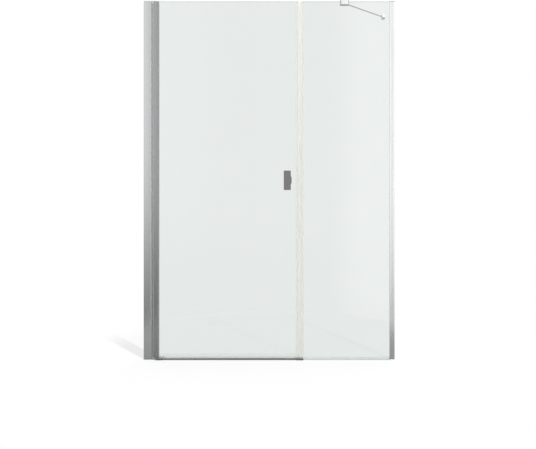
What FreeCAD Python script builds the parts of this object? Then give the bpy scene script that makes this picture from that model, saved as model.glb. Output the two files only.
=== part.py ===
"""Hinged shower door with a fixed glass panel in line, for a recess between two walls.

Millimetres, +Z up. The origin lies on the shower tray, in the middle of the recess and in
the middle plane of the glass. +X runs from the hinge wall to the panel wall and +Y from the
room into the shower, so the door opens towards -Y.
"""

import FreeCAD
import Part
import math
import os

import Sketcher

Vector = FreeCAD.Vector

SIZES = {
    # Recess and glass
    "opening_width": 1400.0,
    "frame_height": 2000.0,
    "panel_width": 528.0,
    "glass_thick": 8.0,
    "glass_arris": 0.8,
    # Clearances shared by several pieces
    "fit_gap": 0.2,
    "drill_gap": 0.05,
    "overrun": 1.0,
    # Wall channel and jamb on the hinge side
    "channel_wall": 2.0,
    "channel_width": 24.0,
    "channel_reach": 30.0,
    "jamb_face": 46.0,
    "jamb_wall": 1.8,
    "jamb_chamber": 8.0,
    "jamb_wall_gap": 1.0,
    "jamb_round": 1.2,
    "jamb_nose": 6.0,
    # Screw holes to both walls
    "wall_hole_radius": 2.6,
    "wall_hole_end": 160.0,
    # Screws that lock the jamb on the channel
    "lock_end": 250.0,
    "lock_reach": 16.0,
    "lock_shank_radius": 2.0,
    "lock_head_radius": 4.0,
    "lock_head_height": 2.2,
    "lock_head_bevel": 0.9,
    "lock_length": 8.0,
    # Pivot brackets and pins
    "bracket_plate": 5.0,
    "plug_length": 15.0,
    "pin_radius": 3.0,
    "pin_engagement": 18.0,
    "pin_bevel": 0.5,
    "thrust_gap": 0.2,
    # Hinge barrel and the bushes in its ends
    "barrel_radius": 6.0,
    "barrel_gap": 0.6,
    "barrel_proud": 1.0,
    "bush_radius": 4.5,
    "bush_length": 20.0,
    "bush_flange": 1.6,
    # Hinge profile of the door
    "swing_gap": 0.6,
    "neck_thick": 5.0,
    "hinge_profile_face": 22.8,
    "hinge_base": 6.0,
    "hinge_front_wall": 4.5,
    "hinge_rear_wall": 3.0,
    "hinge_round": 1.0,
    "bottom_cap": 2.0,
    "top_cap": 8.0,
    # Glazing of the door in its hinge profile
    "gasket_thick": 2.5,
    "gasket_base": 2.0,
    "gasket_proud": 2.4,
    "clamp_bar": 3.0,
    "clamp_bar_inset": 1.5,
    "clamp_screw_radius": 2.5,
    "clamp_screw_end": 100.0,
    "hex_socket_radius": 1.2,
    "hex_socket_depth": 1.5,
    # Bulb seal between jamb and hinge profile
    "bulb_gap": 0.4,
    "bulb_clear": 1.6,
    "bulb_wall": 1.2,
    "bulb_foot": 12.0,
    # Magnetic seal pair between door and panel
    "magnet_gap": 1.0,
    "carrier_chamber": 9.8,
    "carrier_clip": 12.0,
    "carrier_wall": 1.2,
    "stop_lip_gap": 0.4,
    "stop_lip_thick": 1.4,
    "stop_lip_reach": 7.0,
    # Bottom seal of the door
    "sweep_gap": 0.6,
    "seal_fin": 1.6,
    "seal_fin_thick": 1.6,
    "seal_base": 1.5,
    "seal_wall": 1.2,
    "seal_clip_height": 14.5,
    "drip_reach": 6.3,
    "drip_root": 1.1,
    "drip_thick": 1.4,
    # Threshold strip and the sleeves on its ends
    "threshold_height": 10.0,
    "threshold_front": 22.0,
    "threshold_rear": 18.0,
    "threshold_face": 6.0,
    "threshold_slope": 6.0,
    "threshold_crown": 4.0,
    "threshold_lip": 3.0,
    "threshold_wall": 1.6,
    "threshold_round": 3.0,
    "threshold_arm_gap": 8.0,
    "threshold_overlap": 7.4,
    "threshold_cap_length": 40.0,
    "threshold_cap_front": 4.0,
    "threshold_cap_rear": 2.0,
    "threshold_cap_lift": 0.8,
    "threshold_cap_end": 2.0,
    "corner_gap": 0.4,
    # Fixed panel, its wall channel and its bottom seal
    "panel_channel_face": 14.0,
    "panel_channel_wall": 2.0,
    "panel_profile_face": 14.0,
    "panel_profile_wall": 2.0,
    "panel_rear_setback": 3.0,
    "panel_profile_insert": 8.0,
    "panel_glass_bite": 14.0,
    "panel_gasket": 2.0,
    "panel_gasket_depth": 11.0,
    "panel_gasket_inset": 0.5,
    "panel_gasket_bevel": 0.8,
    "panel_lock_length": 7.0,
    "panel_cap": 3.0,
    "panel_foot": 8.0,
    "panel_seal_base": 4.0,
    "panel_seal_toe": 20.0,
    "panel_seal_toe_thick": 2.0,
    # Stay clamp on the top edge of the panel
    "clamp_from_wall": 279.2,
    "clamp_width": 48.0,
    "clamp_height": 41.5,
    "clamp_drop": 21.5,
    "clamp_front_wall": 7.0,
    "clamp_rear_wall": 9.0,
    "clamp_bevel": 4.0,
    "clamp_top_gap": 1.0,
    "clamp_pad": 1.0,
    "clamp_pad_inset": 4.0,
    "clamp_pad_margin": 2.0,
    "pad_screw_radius": 2.5,
    "pad_screw_spacing": 32.0,
    "pad_screw_drop": 17.0,
    "pad_socket_radius": 1.6,
    "pad_socket_depth": 3.0,
    # Stay rod and its boss on the wall
    "rod_angle_deg": 45.0,
    "rod_drop": 7.6,
    "rod_radius": 4.0,
    "spigot_radius": 7.0,
    "spigot_root": 3.0,
    "spigot_length": 30.0,
    "spigot_bore": 18.0,
    "boss_radius": 18.0,
    "boss_thick": 17.0,
    "boss_round": 1.5,
    "boss_floor": 6.5,
    "boss_hole_radius": 2.2,
    "boss_hole_spacing": 20.0,
    "boss_counterbore_radius": 3.8,
    "boss_counterbore": 9.0,
    "rod_screw_radius": 1.8,
    "rod_screw_length": 2.4,
    "rod_screw_setback": 7.0,
    # Handle
    "handle_height": 1000.0,
    "handle_from_edge": 60.5,
    "plate_width": 38.5,
    "plate_height": 108.5,
    "plate_thick": 5.0,
    "plate_round": 1.2,
    "bump_reach": 4.5,
    "bump_length": 34.0,
    "bump_slope": 5.0,
    "ridge_width": 8.0,
    "ridge_height": 2.5,
    "ridge_round": 1.8,
    "base_width": 20.0,
    "base_height": 84.0,
    "base_depth": 12.0,
    "handle_gasket": 0.8,
    "handle_screw_spacing": 56.0,
    "handle_screw_radius": 2.5,
    "handle_thread": 8.0,
    "handle_head_radius": 4.4,
    "handle_head_height": 3.5,
    "handle_counterbore": 5.0,
    "glass_hole_radius": 6.0,
    "plate_fixing_spacing": 24.0,
    "plate_screw_radius": 2.0,
    "plate_screw_thread": 3.2,
    "plate_head_radius": 3.5,
    "plate_head_height": 2.0,
    "plate_counterbore": 2.4,
    "peg_radius": 3.0,
    "peg_length": 5.5,
}

WALL_HOLE_COUNT = 4
LOCK_SCREW_COUNT = 4
CLAMP_SCREW_COUNT = 5
PAIR_COUNT = 2

# How near an edge must lie to a named place to be chosen for rounding
MATCH = 1e-6


class Dim:
    """A size: its value and the sheet expression that it is bound to."""

    def __init__(self, value, text):
        self.value = value
        self.text = text

    def __neg__(self):
        return Dim(-self.value, f"(-1 * {self.text})")

    def __add__(self, other):
        return Dim(self.value + other.value, f"({self.text} + {other.text})")

    def __sub__(self, other):
        return Dim(self.value - other.value, f"({self.text} - {other.text})")

    def __mul__(self, factor):
        if isinstance(factor, Dim):
            return Dim(self.value * factor.value, f"({self.text} * {factor.text})")
        return Dim(self.value * factor, f"({self.text} * {factor})")

    def __truediv__(self, divisor):
        if isinstance(divisor, Dim):
            return Dim(self.value / divisor.value, f"({self.text} / {divisor.text})")
        return Dim(self.value / divisor, f"({self.text} / {divisor})")


class Sizes:
    """The named sizes of the sheet, each read as a Dim."""

    def __getattr__(self, name):
        return Dim(SIZES[name], f"Sizes.{name}")


class Ring:
    """A circle in a sketch."""

    def __init__(self, x, y, radius):
        self.x = x
        self.y = y
        self.radius = radius


# Sketch plane, the sign of its normal along the third axis
PLANES = {"XY": ("XY_Plane", 1), "XZ": ("XZ_Plane", -1), "YZ": ("YZ_Plane", 1)}
# Plane and sketch axis that an outline is turned about
TURNING = {"X": ("XY", "H_Axis"), "Y": ("XY", "V_Axis"), "Z": ("XZ", "V_Axis")}


class Piece:
    """One body, built from pads, cuts and turned outlines in its own frame.

    Its placement is bound to the sheet: a place in the room and a turn about the vertical.
    """

    def __init__(self, label, place=None, turn=None):
        self.body = doc.addObject("PartDesign::Body", label)
        self.body.Label = label
        if turn:
            self.body.Placement = FreeCAD.Placement(Vector(), FreeCAD.Rotation(Vector(0, 0, 1), turn.value))
            self.body.setExpression("Placement.Rotation.Angle", f"{turn.text} * 1 deg")
        if place:
            set_place(self.body, place)

    def sketch(self, plane, loops, offset):
        """A sketch of closed loops on an origin plane, moved along the plane's normal."""
        role, sign = PLANES[plane]
        sketch = self.body.newObject("Sketcher::SketchObject", f"{self.body.Label}_sketch")
        origin_plane = next(item for item in self.body.Origin.OriginFeatures if item.Role == role)
        sketch.AttachmentSupport = [(origin_plane, "")]
        sketch.MapMode = "FlatFace"
        shift = offset if sign > 0 else -offset
        sketch.setExpression("AttachmentOffset.Base.z", shift.text)
        for loop in loops:
            if isinstance(loop, Ring):
                draw_circle(sketch, loop)
            else:
                draw_outline(sketch, loop)
        return sketch

    def pad(self, plane, loops, start, end):
        """Material between two places on the plane's normal axis."""
        low, high = in_order(start, end)
        sketch = self.sketch(plane, loops, low)
        pad = self.body.newObject("PartDesign::Pad", f"{self.body.Label}_pad")
        pad.Profile = sketch
        pad.setExpression("Length", (high - low).text)
        pad.Reversed = PLANES[plane][1] < 0
        return self

    def cut(self, plane, loops, start, end):
        """Material taken away between two places on the plane's normal axis."""
        low, high = in_order(start, end)
        sketch = self.sketch(plane, loops, low)
        pocket = self.body.newObject("PartDesign::Pocket", f"{self.body.Label}_pocket")
        pocket.Profile = sketch
        pocket.setExpression("Length", (high - low).text)
        pocket.Reversed = PLANES[plane][1] > 0
        return self

    def turned(self, axis, outline):
        """A full turn of an outline about one of the body's own axes."""
        plane, sketch_axis = TURNING[axis]
        sketch = self.sketch(plane, [outline], ZERO)
        revolution = self.body.newObject("PartDesign::Revolution", f"{self.body.Label}_revolution")
        revolution.Profile = sketch
        revolution.ReferenceAxis = (sketch, [sketch_axis])
        revolution.Angle = 360
        return self

    def edged(self, kind, bound, size, axis, **places):
        """Fillet or Chamfer on the straight edges along an axis at the named places."""
        doc.recompute()
        base = self.body.Tip
        names = [
            f"Edge{number}"
            for number, edge in enumerate(base.Shape.Edges, 1)
            if edge_matches(edge, axis, places)
        ]
        feature = self.body.newObject(f"PartDesign::{kind}", f"{self.body.Label}_{kind.lower()}")
        feature.Base = (base, names)
        feature.setExpression(bound, size.text)
        return self

    def rounded(self, radius, axis, **places):
        return self.edged("Fillet", "Radius", radius, axis, **places)

    def bevelled(self, size, axis, **places):
        return self.edged("Chamfer", "Size", size, axis, **places)


def set_place(item, place):
    """Bind the place of an object to the sheet."""
    for axis, dim in zip("xyz", place):
        item.setExpression(f"Placement.Base.{axis}", dim.text)


def in_order(start, end):
    return (start, end) if start.value < end.value else (end, start)


def edge_matches(edge, axis, places):
    """True for a straight edge along the axis whose other coordinates are among the places."""
    if not isinstance(edge.Curve, Part.Line):
        return False
    first, last = edge.Vertexes[0].Point, edge.Vertexes[-1].Point
    for name in "xyz":
        moves = abs(getattr(last, name) - getattr(first, name)) > MATCH
        if moves != (name == axis):
            return False
        if name in places:
            middle = (getattr(first, name) + getattr(last, name)) / 2
            if all(abs(middle - dim.value) > MATCH for dim in places[name]):
                return False
    return True


def bind(sketch, constraint, dim):
    """Add a constraint and bind its value to the sheet."""
    number = sketch.addConstraint(constraint)
    sketch.setExpression(f"Constraints[{number}]", dim.text)


def draw_outline(sketch, points):
    """A closed outline of straight lines, with every corner held by named sizes."""
    corners = [Vector(x.value, y.value, 0) for x, y in points]
    first = sketch.GeometryCount
    count = len(points)
    for number in range(count):
        line = Part.LineSegment(corners[number], corners[(number + 1) % count])
        sketch.addGeometry(line, False)
    for number in range(count):
        following = first + (number + 1) % count
        sketch.addConstraint(Sketcher.Constraint("Coincident", first + number, 2, following, 1))
    for number, (x, y) in enumerate(points):
        bind(sketch, Sketcher.Constraint("DistanceX", -1, 1, first + number, 1, x.value), x)
        bind(sketch, Sketcher.Constraint("DistanceY", -1, 1, first + number, 1, y.value), y)


def draw_circle(sketch, ring):
    """A circle with its centre and radius held by named sizes."""
    circle = Part.Circle(Vector(ring.x.value, ring.y.value, 0), Vector(0, 0, 1), ring.radius.value)
    number = sketch.addGeometry(circle, False)
    bind(sketch, Sketcher.Constraint("DistanceX", -1, 1, number, 3, ring.x.value), ring.x)
    bind(sketch, Sketcher.Constraint("DistanceY", -1, 1, number, 3, ring.y.value), ring.y)
    bind(sketch, Sketcher.Constraint("Radius", number, ring.radius.value), ring.radius)


def rect(x_low, y_low, x_high, y_high):
    """Corners of an upright rectangle."""
    return [(x_low, y_low), (x_high, y_low), (x_high, y_high), (x_low, y_high)]


def row(centre, pitch, count):
    """Places of a row of equal pitch about its centre."""
    return [centre + pitch * (number - (count - 1) / 2) for number in range(count)]


def spread(margin, count):
    """Heights of a column of equal pitch that keeps a margin to both ends of the frame."""
    span = top - margin - margin
    return [margin + span * (number / (count - 1)) for number in range(count)]


def group(label, pieces):
    """Identical pieces as one sub-part of separate solids."""
    compound = doc.addObject("Part::Compound", label)
    compound.Label = label
    compound.Links = [piece.body for piece in pieces]
    return compound


def fused(label, shapes):
    """Several shapes joined into one."""
    fusion = doc.addObject("Part::MultiFuse", label)
    fusion.Shapes = shapes
    return fusion


def without(label, base, tools):
    """A shape with several others taken away."""
    cut = doc.addObject("Part::Cut", label)
    cut.Label = label
    cut.Base = base
    cut.Tool = fused(f"{label}_tools", tools)
    return cut


def cosine(angle):
    return Dim(math.cos(math.radians(angle.value)), f"cos({angle.text} * 1 deg)")


def sine(angle):
    return Dim(math.sin(math.radians(angle.value)), f"sin({angle.text} * 1 deg)")


doc = FreeCAD.newDocument("ShowerDoor")
sheet = doc.addObject("Spreadsheet::Sheet", "Sizes")
for line, (name, value) in enumerate(SIZES.items(), 1):
    sheet.set(f"A{line}", name)
    sheet.set(f"B{line}", str(value))
    sheet.setAlias(f"B{line}", name)
doc.recompute()

s = Sizes()
ZERO = Dim(0.0, "0")

# Walls, glass faces and heights that several pieces share
left_wall = -s.opening_width / 2
right_wall = s.opening_width / 2
top = s.frame_height
glass_half = s.glass_thick / 2

# Jamb on the hinge wall
jamb_left = left_wall + s.jamb_wall_gap
jamb_right = left_wall + s.jamb_face
channel_half = s.channel_width / 2
jamb_inner = channel_half + s.fit_gap
jamb_half = jamb_inner + s.jamb_wall
chamber_right = jamb_right - s.jamb_wall
chamber_left = chamber_right - s.jamb_chamber
lock_x = left_wall + s.lock_reach

# Hinge axis
pivot_x = jamb_right + s.barrel_gap + s.barrel_radius
pivot_y = s.barrel_radius - jamb_half - s.barrel_proud

# Heights of the moving door above the threshold
threshold_top = s.threshold_height + s.threshold_cap_lift
door_bottom = threshold_top + s.sweep_gap
door_glass_bottom = door_bottom + s.seal_fin + s.seal_base
arm_height = door_bottom - s.bush_flange - s.thrust_gap
profile_bottom = door_bottom + s.bottom_cap
profile_top = top - s.top_cap

# Hinge profile of the door
profile_left = pivot_x + s.barrel_radius + s.swing_gap
profile_right = profile_left + s.hinge_profile_face
slot_left = profile_left + s.hinge_base
gasket_face = glass_half + s.gasket_thick
bar_face = gasket_face + s.clamp_bar
profile_front = -gasket_face - s.hinge_front_wall
profile_rear = bar_face + s.hinge_rear_wall
clamp_screw_x = (slot_left + profile_right) / 2
gasket_mouth = profile_right + s.gasket_proud

# Meeting line of the two glass panes
meeting_x = right_wall - s.panel_width
door_carrier_right = meeting_x - s.magnet_gap / 2
panel_carrier_left = meeting_x + s.magnet_gap / 2
door_glass_left = slot_left + s.gasket_base
door_glass_right = door_carrier_right - s.carrier_chamber
door_carrier_left = door_glass_right - s.carrier_clip
panel_glass_left = panel_carrier_left + s.carrier_chamber
panel_carrier_right = panel_glass_left + s.carrier_clip
carrier_half = glass_half + s.carrier_wall

# Fixed panel
panel_channel_mouth = right_wall - s.panel_channel_face
panel_mouth = panel_channel_mouth - s.panel_profile_face
panel_rear_mouth = panel_mouth + s.panel_rear_setback
panel_glass_right = panel_mouth + s.panel_glass_bite
panel_profile_right = panel_channel_mouth + s.panel_profile_insert
panel_profile_web = panel_profile_right - s.panel_profile_wall
panel_profile_inner = glass_half + s.panel_gasket
panel_profile_half = panel_profile_inner + s.panel_profile_wall
panel_channel_inner = panel_profile_half + s.fit_gap
panel_channel_half = panel_channel_inner + s.panel_channel_wall
panel_top = top - s.panel_cap
panel_seal_top = threshold_top
panel_lock_x = (panel_glass_right + panel_profile_web) / 2

# Threshold
threshold_left = pivot_x + s.barrel_radius + s.threshold_arm_gap
threshold_right = panel_glass_left + s.threshold_overlap
foot_arm_right = threshold_left - s.fit_gap
strip_left = threshold_left + s.threshold_cap_end
strip_right = panel_glass_left - s.corner_gap - s.threshold_cap_end

# Stay on the panel's top edge
clamp_x = right_wall - s.clamp_from_wall
clamp_slot = glass_half + s.clamp_pad
clamp_front = -clamp_slot - s.clamp_front_wall
clamp_rear = clamp_slot + s.clamp_rear_wall
rod_root_y = clamp_slot + s.clamp_rear_wall / 2
rod_height = top - s.rod_drop
rod_cos = cosine(s.rod_angle_deg)
rod_sin = sine(s.rod_angle_deg)
rod_place = (clamp_x, rod_root_y, rod_height)
rod_start = s.spigot_length - s.spigot_bore
rod_end = (s.clamp_from_wall - s.boss_floor) / rod_cos
boss_middle = (s.clamp_from_wall - s.boss_thick / 2) / rod_cos
boss_place = (right_wall, rod_root_y + boss_middle * rod_sin, rod_height)
clamp_rod_screw = s.spigot_length - s.rod_screw_setback

# Handle
handle_place = (door_glass_right - s.handle_from_edge, ZERO, s.handle_height)
handle_seat = glass_half + s.handle_gasket
handle_step = handle_seat + s.base_depth
handle_face = handle_step + s.plate_thick
handle_screw_heights = row(ZERO, s.handle_screw_spacing, PAIR_COUNT)
plate_fixing_heights = row(ZERO, s.plate_fixing_spacing, PAIR_COUNT)


def wall_holes():
    """Rings of the screw holes to a wall, in a plane across the recess."""
    heights = spread(s.wall_hole_end, WALL_HOLE_COUNT)
    return [Ring(ZERO, height, s.wall_hole_radius) for height in heights]


def lock_holes(x, clearance):
    """Rings of a column of lock screws with a clearance around the shank."""
    heights = spread(s.lock_end, LOCK_SCREW_COUNT)
    return [Ring(x, height, s.lock_shank_radius + clearance) for height in heights]


def hinge_wall_channel():
    """U channel on the hinge wall, open towards the door."""
    base = left_wall + s.channel_wall
    mouth = left_wall + s.channel_reach
    inner = channel_half - s.channel_wall
    outline = [
        (left_wall, -channel_half), (mouth, -channel_half), (mouth, -inner), (base, -inner),
        (base, inner), (mouth, inner), (mouth, channel_half), (left_wall, channel_half),
    ]
    piece = Piece("hinge_wall_channel")
    piece.pad("XY", [outline], s.bracket_plate, top - s.bracket_plate)
    piece.cut("YZ", wall_holes(), left_wall - s.overrun, base + s.overrun)
    piece.cut("XZ", lock_holes(lock_x, s.drill_gap), inner - s.overrun, channel_half + s.overrun)
    return piece.body


def hinge_jamb():
    """Jamb that slides over the wall channel, with a closed chamber and a rounded nose at the door."""
    web = chamber_left - s.jamb_wall
    outline = [
        (jamb_left, -jamb_half), (jamb_right, -jamb_half), (jamb_right, jamb_half),
        (jamb_left, jamb_half), (jamb_left, jamb_inner), (web, jamb_inner),
        (web, -jamb_inner), (jamb_left, -jamb_inner),
    ]
    chamber = rect(chamber_left, -jamb_inner, chamber_right, jamb_inner)
    piece = Piece("hinge_jamb")
    piece.pad("XY", [outline, chamber], s.bracket_plate, top - s.bracket_plate)
    piece.cut("XZ", lock_holes(lock_x, s.fit_gap), jamb_inner - s.overrun, jamb_half + s.overrun)
    piece.rounded(s.jamb_round, "z", x=[jamb_left], y=[-jamb_half, jamb_half])
    piece.rounded(s.jamb_round, "z", x=[jamb_right], y=[jamb_half])
    piece.rounded(s.jamb_nose, "z", x=[jamb_right], y=[-jamb_half])
    piece.rounded(s.jamb_nose - s.jamb_wall, "z", x=[chamber_right], y=[-jamb_inner])
    return piece.body


def lock_screws(label, x, seat, length):
    """Column of pan head screws from the shower side, with their heads on a seat."""
    head_top = seat + s.lock_head_height
    outline = [
        (ZERO, seat - length), (s.lock_shank_radius, seat - length), (s.lock_shank_radius, seat),
        (s.lock_head_radius, seat), (s.lock_head_radius, head_top - s.lock_head_bevel),
        (s.lock_head_radius - s.lock_head_bevel, head_top),
        (s.hex_socket_radius, head_top), (s.hex_socket_radius, head_top - s.hex_socket_depth),
        (ZERO, head_top - s.hex_socket_depth),
    ]
    screws = [
        Piece("lock_screw", (x, ZERO, height)).turned("Y", outline)
        for height in spread(s.lock_end, LOCK_SCREW_COUNT)
    ]
    return group(label, screws)


def pivot_bracket(label, seat, inward, arm_right):
    """End plate of the jamb with a plug in its chamber and an arm around the pivot pin."""
    plate_end = seat + s.bracket_plate * inward
    plug_end = plate_end + s.plug_length * inward
    arm_end = seat + arm_height * inward
    plate = rect(jamb_left, -jamb_half, jamb_right, jamb_half)
    plug_right = chamber_right - s.fit_gap
    plug_half = jamb_inner - s.fit_gap
    plug = rect(chamber_left + s.fit_gap, -plug_half, plug_right, plug_half)
    arm = rect(jamb_right, pivot_y - s.barrel_radius, arm_right, pivot_y + s.barrel_radius)
    pin_hole = Ring(pivot_x, pivot_y, s.pin_radius + s.drill_gap)
    piece = Piece(label)
    piece.pad("XY", [plate], seat, plate_end)
    piece.pad("XY", [plug], plate_end, plug_end)
    piece.pad("XY", [arm], seat, arm_end)
    piece.pad("XY", [Ring(pivot_x, pivot_y, s.barrel_radius)], seat, arm_end)
    piece.cut("XY", [pin_hole], seat - s.overrun * inward, arm_end + s.overrun * inward)
    piece.rounded(s.jamb_round, "z", x=[jamb_left], y=[-jamb_half, jamb_half])
    piece.rounded(s.jamb_nose - s.jamb_wall, "z", x=[plug_right], y=[-plug_half])
    return piece.body


def pivot_pin(label, seat, inward):
    """Steel pin from the bracket's outer face into the bush."""
    tip = (arm_height + s.pin_engagement) * inward
    shoulder = tip - s.pin_bevel * inward
    outline = [
        (ZERO, ZERO), (s.pin_radius, ZERO), (s.pin_radius, shoulder),
        (s.pin_radius - s.pin_bevel, tip), (ZERO, tip),
    ]
    return Piece(label, (pivot_x, pivot_y, seat)).turned("Z", outline).body


def hinge_bush(label, seat, inward):
    """Flanged bush in the end of the hinge barrel."""
    bore = s.pin_radius + s.drill_gap
    flange = -s.bush_flange * inward
    tube = s.bush_length * inward
    outline = [
        (bore, flange), (s.barrel_radius, flange), (s.barrel_radius, ZERO),
        (s.bush_radius, ZERO), (s.bush_radius, tube), (bore, tube),
    ]
    return Piece(label, (pivot_x, pivot_y, seat)).turned("Z", outline).body


def hinge_bulb_seal():
    """Hollow bulb on a foot on the jamb's flank, just clear of the hinge profile."""
    radius = (profile_left - jamb_right - s.bulb_gap) / 2
    centre_x = jamb_right + radius
    centre_y = pivot_y + s.barrel_radius + s.bulb_clear + radius
    foot = rect(
        jamb_right, centre_y - s.bulb_foot / 2, jamb_right + s.bulb_wall, centre_y + s.bulb_foot / 2
    )
    bulb = [Ring(centre_x, centre_y, radius), Ring(centre_x, centre_y, radius - s.bulb_wall)]
    piece = Piece("hinge_bulb_seal")
    piece.pad("XY", [foot], s.bracket_plate, top - s.bracket_plate)
    piece.pad("XY", bulb, s.bracket_plate, top - s.bracket_plate)
    return piece.body


def door_hinge_profile():
    """Hinge profile: a slot for the glass, and a barrel on a neck along its front."""
    outline = [
        (profile_left, profile_front), (profile_right, profile_front), (profile_right, -gasket_face),
        (slot_left, -gasket_face), (slot_left, bar_face), (profile_right, bar_face),
        (profile_right, profile_rear), (profile_left, profile_rear),
    ]
    bore = s.bush_radius + s.drill_gap
    barrel_wall = pivot_x + (s.barrel_radius + bore) / 2
    neck = rect(barrel_wall, profile_front, profile_left, profile_front + s.neck_thick)
    barrel = [Ring(pivot_x, pivot_y, s.barrel_radius), Ring(pivot_x, pivot_y, bore)]
    heights = spread(s.clamp_screw_end, CLAMP_SCREW_COUNT)
    holes = [Ring(clamp_screw_x, height, s.clamp_screw_radius + s.drill_gap) for height in heights]
    piece = Piece("door_hinge_profile")
    piece.pad("XY", [outline], profile_bottom, profile_top)
    piece.pad("XY", [neck], door_bottom, top - door_bottom)
    piece.pad("XY", barrel, door_bottom, top - door_bottom)
    piece.cut("XZ", holes, bar_face - s.overrun, profile_rear + s.overrun)
    piece.rounded(s.hinge_round, "z", x=[profile_left, profile_right], y=[profile_rear])
    piece.rounded(s.hinge_round, "z", x=[profile_right], y=[profile_front])
    return piece.body


def hinge_top_cap():
    """Top cap of the hinge profile, open around the glass."""
    left = door_glass_left - s.fit_gap
    half = glass_half + s.fit_gap
    outline = [
        (profile_left, profile_front), (profile_right, profile_front), (profile_right, -half),
        (left, -half), (left, half), (profile_right, half),
        (profile_right, profile_rear), (profile_left, profile_rear),
    ]
    return Piece("hinge_top_cap").pad("XY", [outline], profile_top, top).body


def hinge_bottom_cap():
    """Bottom cap of the hinge profile."""
    outline = rect(profile_left, profile_front, profile_right, profile_rear)
    piece = Piece("hinge_bottom_cap").pad("XY", [outline], door_bottom, profile_bottom)
    piece.rounded(s.hinge_round, "z", x=[profile_right], y=[profile_front, profile_rear])
    return piece.body


def door_gasket():
    """U gasket around the hinge edge of the door glass, with lips that show beside the profile."""
    outline = [
        (slot_left, -gasket_face), (gasket_mouth, -gasket_face), (gasket_mouth, -glass_half),
        (door_glass_left, -glass_half), (door_glass_left, glass_half), (gasket_mouth, glass_half),
        (gasket_mouth, gasket_face), (slot_left, gasket_face),
    ]
    return Piece("door_gasket").pad("XY", [outline], door_glass_bottom, profile_top).body


def door_clamp_bar():
    """Bar between the gasket and the clamp screws."""
    outline = rect(
        slot_left + s.clamp_bar_inset, gasket_face, profile_right - s.clamp_bar_inset, bar_face
    )
    return Piece("door_clamp_bar").pad("XY", [outline], door_glass_bottom, profile_top).body


def door_clamp_screws():
    """Grub screws in the rear wall of the hinge profile, on the clamp bar."""
    outline = grub_outline(
        bar_face, profile_rear, s.clamp_screw_radius, s.hex_socket_radius, s.hex_socket_depth
    )
    screws = []
    for height in spread(s.clamp_screw_end, CLAMP_SCREW_COUNT):
        screws.append(Piece("door_clamp_screw", (clamp_screw_x, ZERO, height)).turned("Y", outline))
    return group("door_clamp_screws", screws)


def grub_outline(tip, back, radius, socket_radius, socket_depth):
    """Half section of a grub screw with a key socket in its back end."""
    return [
        (ZERO, tip), (radius, tip), (radius, back), (socket_radius, back),
        (socket_radius, back - socket_depth), (ZERO, back - socket_depth),
    ]


def glass_pane(label, left, bottom, right, holes):
    """Pane of safety glass with ground edges."""
    piece = Piece(label)
    piece.pad("XZ", [rect(left, bottom, right, top)] + holes, -glass_half, glass_half)
    faces = [-glass_half, glass_half]
    piece.bevelled(s.glass_arris, "x", y=faces)
    piece.bevelled(s.glass_arris, "z", x=[left, right], y=faces)
    return piece.body


def door_glass():
    """Door pane with the two holes of the handle."""
    x, _, z = handle_place
    holes = [Ring(x, z + height, s.glass_hole_radius) for height in handle_screw_heights]
    return glass_pane("door_glass", door_glass_left, door_glass_bottom, door_glass_right, holes)


def panel_glass():
    """Fixed pane, which stands in its bottom seal."""
    return glass_pane("panel_glass", panel_glass_left, s.panel_seal_base, panel_glass_right, [])


def door_magnet_carrier():
    """Clear clip on the door glass with a chamber for the magnet."""
    outline = [
        (door_carrier_left, -carrier_half), (door_carrier_right, -carrier_half),
        (door_carrier_right, carrier_half), (door_carrier_left, carrier_half),
        (door_carrier_left, glass_half), (door_glass_right, glass_half),
        (door_glass_right, -glass_half), (door_carrier_left, -glass_half),
    ]
    chamber = rect(
        door_glass_right + s.carrier_wall, -glass_half, door_carrier_right - s.carrier_wall, glass_half
    )
    return Piece("door_magnet_carrier").pad("XY", [outline, chamber], door_bottom, top).body


def panel_magnet_carrier():
    """Clear clip on the fixed glass with a magnet chamber and a stop lip behind the door's clip."""
    lip_front = carrier_half + s.stop_lip_gap
    lip_rear = lip_front + s.stop_lip_thick
    lip_left = panel_carrier_left - s.stop_lip_reach
    outline = [
        (panel_carrier_left, -carrier_half), (panel_carrier_right, -carrier_half),
        (panel_carrier_right, -glass_half), (panel_glass_left, -glass_half),
        (panel_glass_left, glass_half), (panel_carrier_right, glass_half),
        (panel_carrier_right, carrier_half), (panel_glass_left, carrier_half),
        (panel_glass_left, lip_rear), (lip_left, lip_rear), (lip_left, lip_front),
        (panel_carrier_left, lip_front),
    ]
    chamber = rect(
        panel_carrier_left + s.carrier_wall, -glass_half, panel_glass_left - s.carrier_wall, glass_half
    )
    bottom = threshold_top + s.fit_gap
    return Piece("panel_magnet_carrier").pad("XY", [outline, chamber], bottom, top).body


def magnet_strip(label, left, right, bottom):
    """Magnet strip in the chamber of a carrier."""
    inset = s.carrier_wall + s.fit_gap
    outline = rect(left + inset, -glass_half + s.fit_gap, right - inset, glass_half - s.fit_gap)
    return Piece(label).pad("XY", [outline], bottom, top).body


def door_bottom_seal():
    """Clear sweep clipped on the door's lower edge, with a fin and a drip lip inside."""
    base = door_bottom + s.seal_fin
    clip_top = door_glass_bottom + s.seal_clip_height
    outer = glass_half + s.seal_wall
    fin = s.seal_fin_thick / 2
    drip_end = outer + s.drip_reach
    outline = [
        (-outer, base), (-fin, base), (-fin, door_bottom), (fin, door_bottom), (fin, base),
        (outer, base), (drip_end, door_bottom), (drip_end, door_bottom + s.drip_thick),
        (outer, door_glass_bottom + s.drip_root), (outer, clip_top), (glass_half, clip_top),
        (glass_half, door_glass_bottom), (-glass_half, door_glass_bottom), (-glass_half, clip_top),
        (-outer, clip_top),
    ]
    left = gasket_mouth + s.fit_gap
    right = door_carrier_left - s.fit_gap
    return Piece("door_bottom_seal").pad("YZ", [outline], left, right).body


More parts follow.
